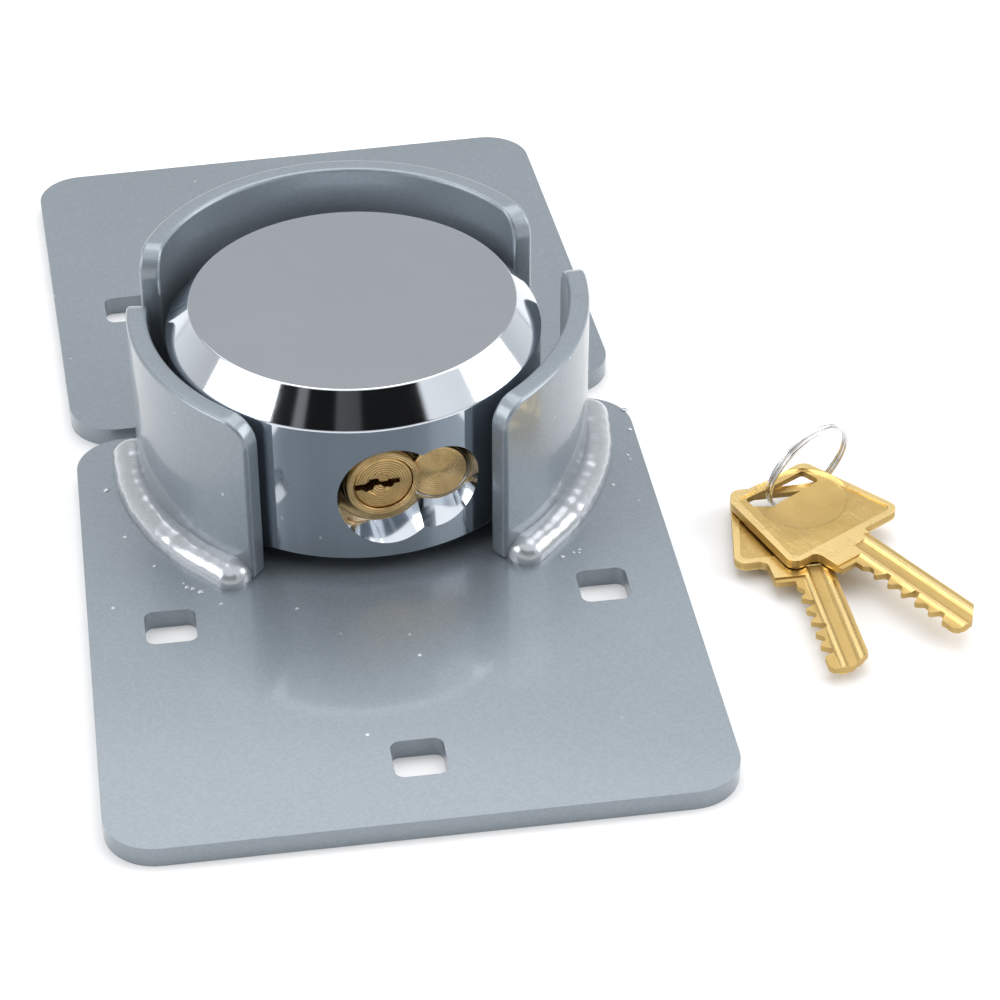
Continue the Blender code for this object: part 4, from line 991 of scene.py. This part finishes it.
def makeWorld():
    # A white tent, greyer low at the back, with a dark gap where the camera looks in.
    world = bpy.data.worlds.new("studio")
    bpy.context.scene.world = world
    world.use_nodes = True
    tree = world.node_tree
    back = tree.nodes["Background"]
    coordinate = tree.nodes.new("ShaderNodeTexCoord")
    direction = Wire(tree, coordinate.outputs["Generated"])
    split = tree.nodes.new("ShaderNodeSeparateXYZ")
    put(tree, split.inputs[0], direction)
    ramp = tree.nodes.new("ShaderNodeValToRGB")
    fillRamp(ramp, [(height, (level, level * 1.005, level * 1.015)) for height, level in worldLook["stops"]])
    height = Wire(tree, split.outputs["Z"])
    put(tree, ramp.inputs[0], height)
    sideways = Wire(tree, split.outputs["X"])
    around = sideways.math("ARCTAN2", sideways, Wire(tree, split.outputs["Y"]) * -1.0)
    strips = tree.nodes.new("ShaderNodeValToRGB")
    fillRamp(strips, [(0.5 + turn / 360, (level, level, level)) for turn, level in worldLook["strips"]])
    put(tree, strips.inputs[0], around / (2 * math.pi) + 0.5)
    low, high = worldLook["band"]
    band = height.above(low, low + 0.03) * (1.0 - height.above(high, high + 0.05))
    strength = (1.0 + band * (Wire(tree, strips.outputs[0]) * 2.0 - 1.0)) * worldLook["strength"]
    put(tree, back.inputs["Color"], Wire(tree, ramp.outputs[0]))
    put(tree, back.inputs["Strength"], strength)


def skyward(azimuth, elevation):
    # Direction from the azimuth seen from the front, turning to the right, and the elevation.
    azimuth = math.radians(azimuth)
    elevation = math.radians(elevation)
    return (math.sin(azimuth) * math.cos(elevation), -math.cos(azimuth) * math.cos(elevation),
            math.sin(elevation))


def makeStudio():
    work = bmesh.new()
    bmesh.ops.create_grid(work, x_segments=8, y_segments=8, size=3.0)
    mesh = bpy.data.meshes.new("floor")
    work.to_mesh(mesh)
    work.free()
    floor = addPiece("floor", mesh, paperFloor("paperFloor"))
    makeWorld()
    middle = (0.01, 0.04, 0.0)
    softLamp("overhead", (0.15, 0.55, 1.1), middle, (1.2, 0.9), lampPower["overhead"])
    softLamp("leftBox", (-1.1, -0.1, 0.7), middle, (0.9, 0.7), lampPower["left"])
    softLamp("rightBox", (1.1, 0.0, 0.6), middle, (0.7, 0.7), lampPower["right"])


def makeCamera():
    target = Vector((viewSizes["targetX"], viewSizes["targetY"], 0.0))
    away = Vector(skyward(viewSizes["azimuth"], viewSizes["elevation"]))
    data = bpy.data.cameras.new("camera")
    data.lens = viewSizes["lens"]
    data.sensor_width = 36.0
    camera = bpy.data.objects.new("camera", data)
    bpy.context.scene.collection.objects.link(camera)
    camera.location = target + away * viewSizes["distance"]
    aim = (-away).to_track_quat("-Z", "Y").to_matrix().to_4x4()
    aim = aim @ Matrix.Rotation(math.radians(viewSizes["roll"]), 4, "Z")
    camera.rotation_euler = aim.to_euler()
    bpy.context.scene.camera = camera
    bpy.context.scene.view_settings.view_transform = "Standard"


paint = platePaint("platePaint", plateLook)
# The weld beads and spatter take a lighter copy of the plate paint: a painted highlight on what is the same
# paint as the plates.
weldHighlightLook = dict(plateLook, roughness=0.16, coat=1.0, coatRoughness=0.03, wave=1.0, bump=0.25,
                dark=(0.38, 0.41, 0.44), light=(0.50, 0.53, 0.56))
weldHighlightCoat = platePaint("weldHighlightPaint", weldHighlightLook)
chrome = lockChrome("lockChrome", chromeLook)
plugAxis = (keySizes["plugX"], keySizes["plugZ"])
lobeAxis = (keySizes["plugX"] + keySizes["lobeGap"], keySizes["plugZ"])
shellBrass = turnedBrass("cylinderBrass", [plugAxis, lobeAxis], {
    "light": (0.86, 0.60, 0.29), "dark": (0.58, 0.38, 0.15), "pitch": 0.42 * mm, "bump": 1.0,
    "roughness": 0.22})
plugBrass = turnedBrass("plugBrass", [plugAxis], {
    "light": (0.78, 0.53, 0.23), "dark": (0.46, 0.29, 0.11), "pitch": 0.5 * mm, "bump": 1.0,
    "roughness": 0.26})
zinc = bareSteel("zincSteel", {"light": (0.62, 0.63, 0.64), "dark": (0.42, 0.43, 0.45), "roughness": 0.28})
plain = bareSteel("plainSteel", {"light": (0.50, 0.50, 0.51), "dark": (0.30, 0.31, 0.33), "roughness": 0.24})
nickel = bareSteel("ringNickel", {"light": (0.80, 0.80, 0.81), "dark": (0.66, 0.66, 0.67), "roughness": 0.05})

makePlates(paint)
makeGuards(paint, weldHighlightCoat)
makeLockShell(chrome)
makeCylinder(shellBrass, plugBrass)
makeKeys(nickel)
coatNodes([("key_pin", plugBrass), ("driver_pin", plain), ("pin_spring", plain), ("cover_screw", plain),
           ("cylinder_screw", plain), ("pinion_clip", plain), ("staple", zinc), ("base_cover", zinc),
           ("locking_bolt", zinc), ("bolt_cradle", zinc), ("drive_pinion", plain)])
makeStudio()
makeCamera()
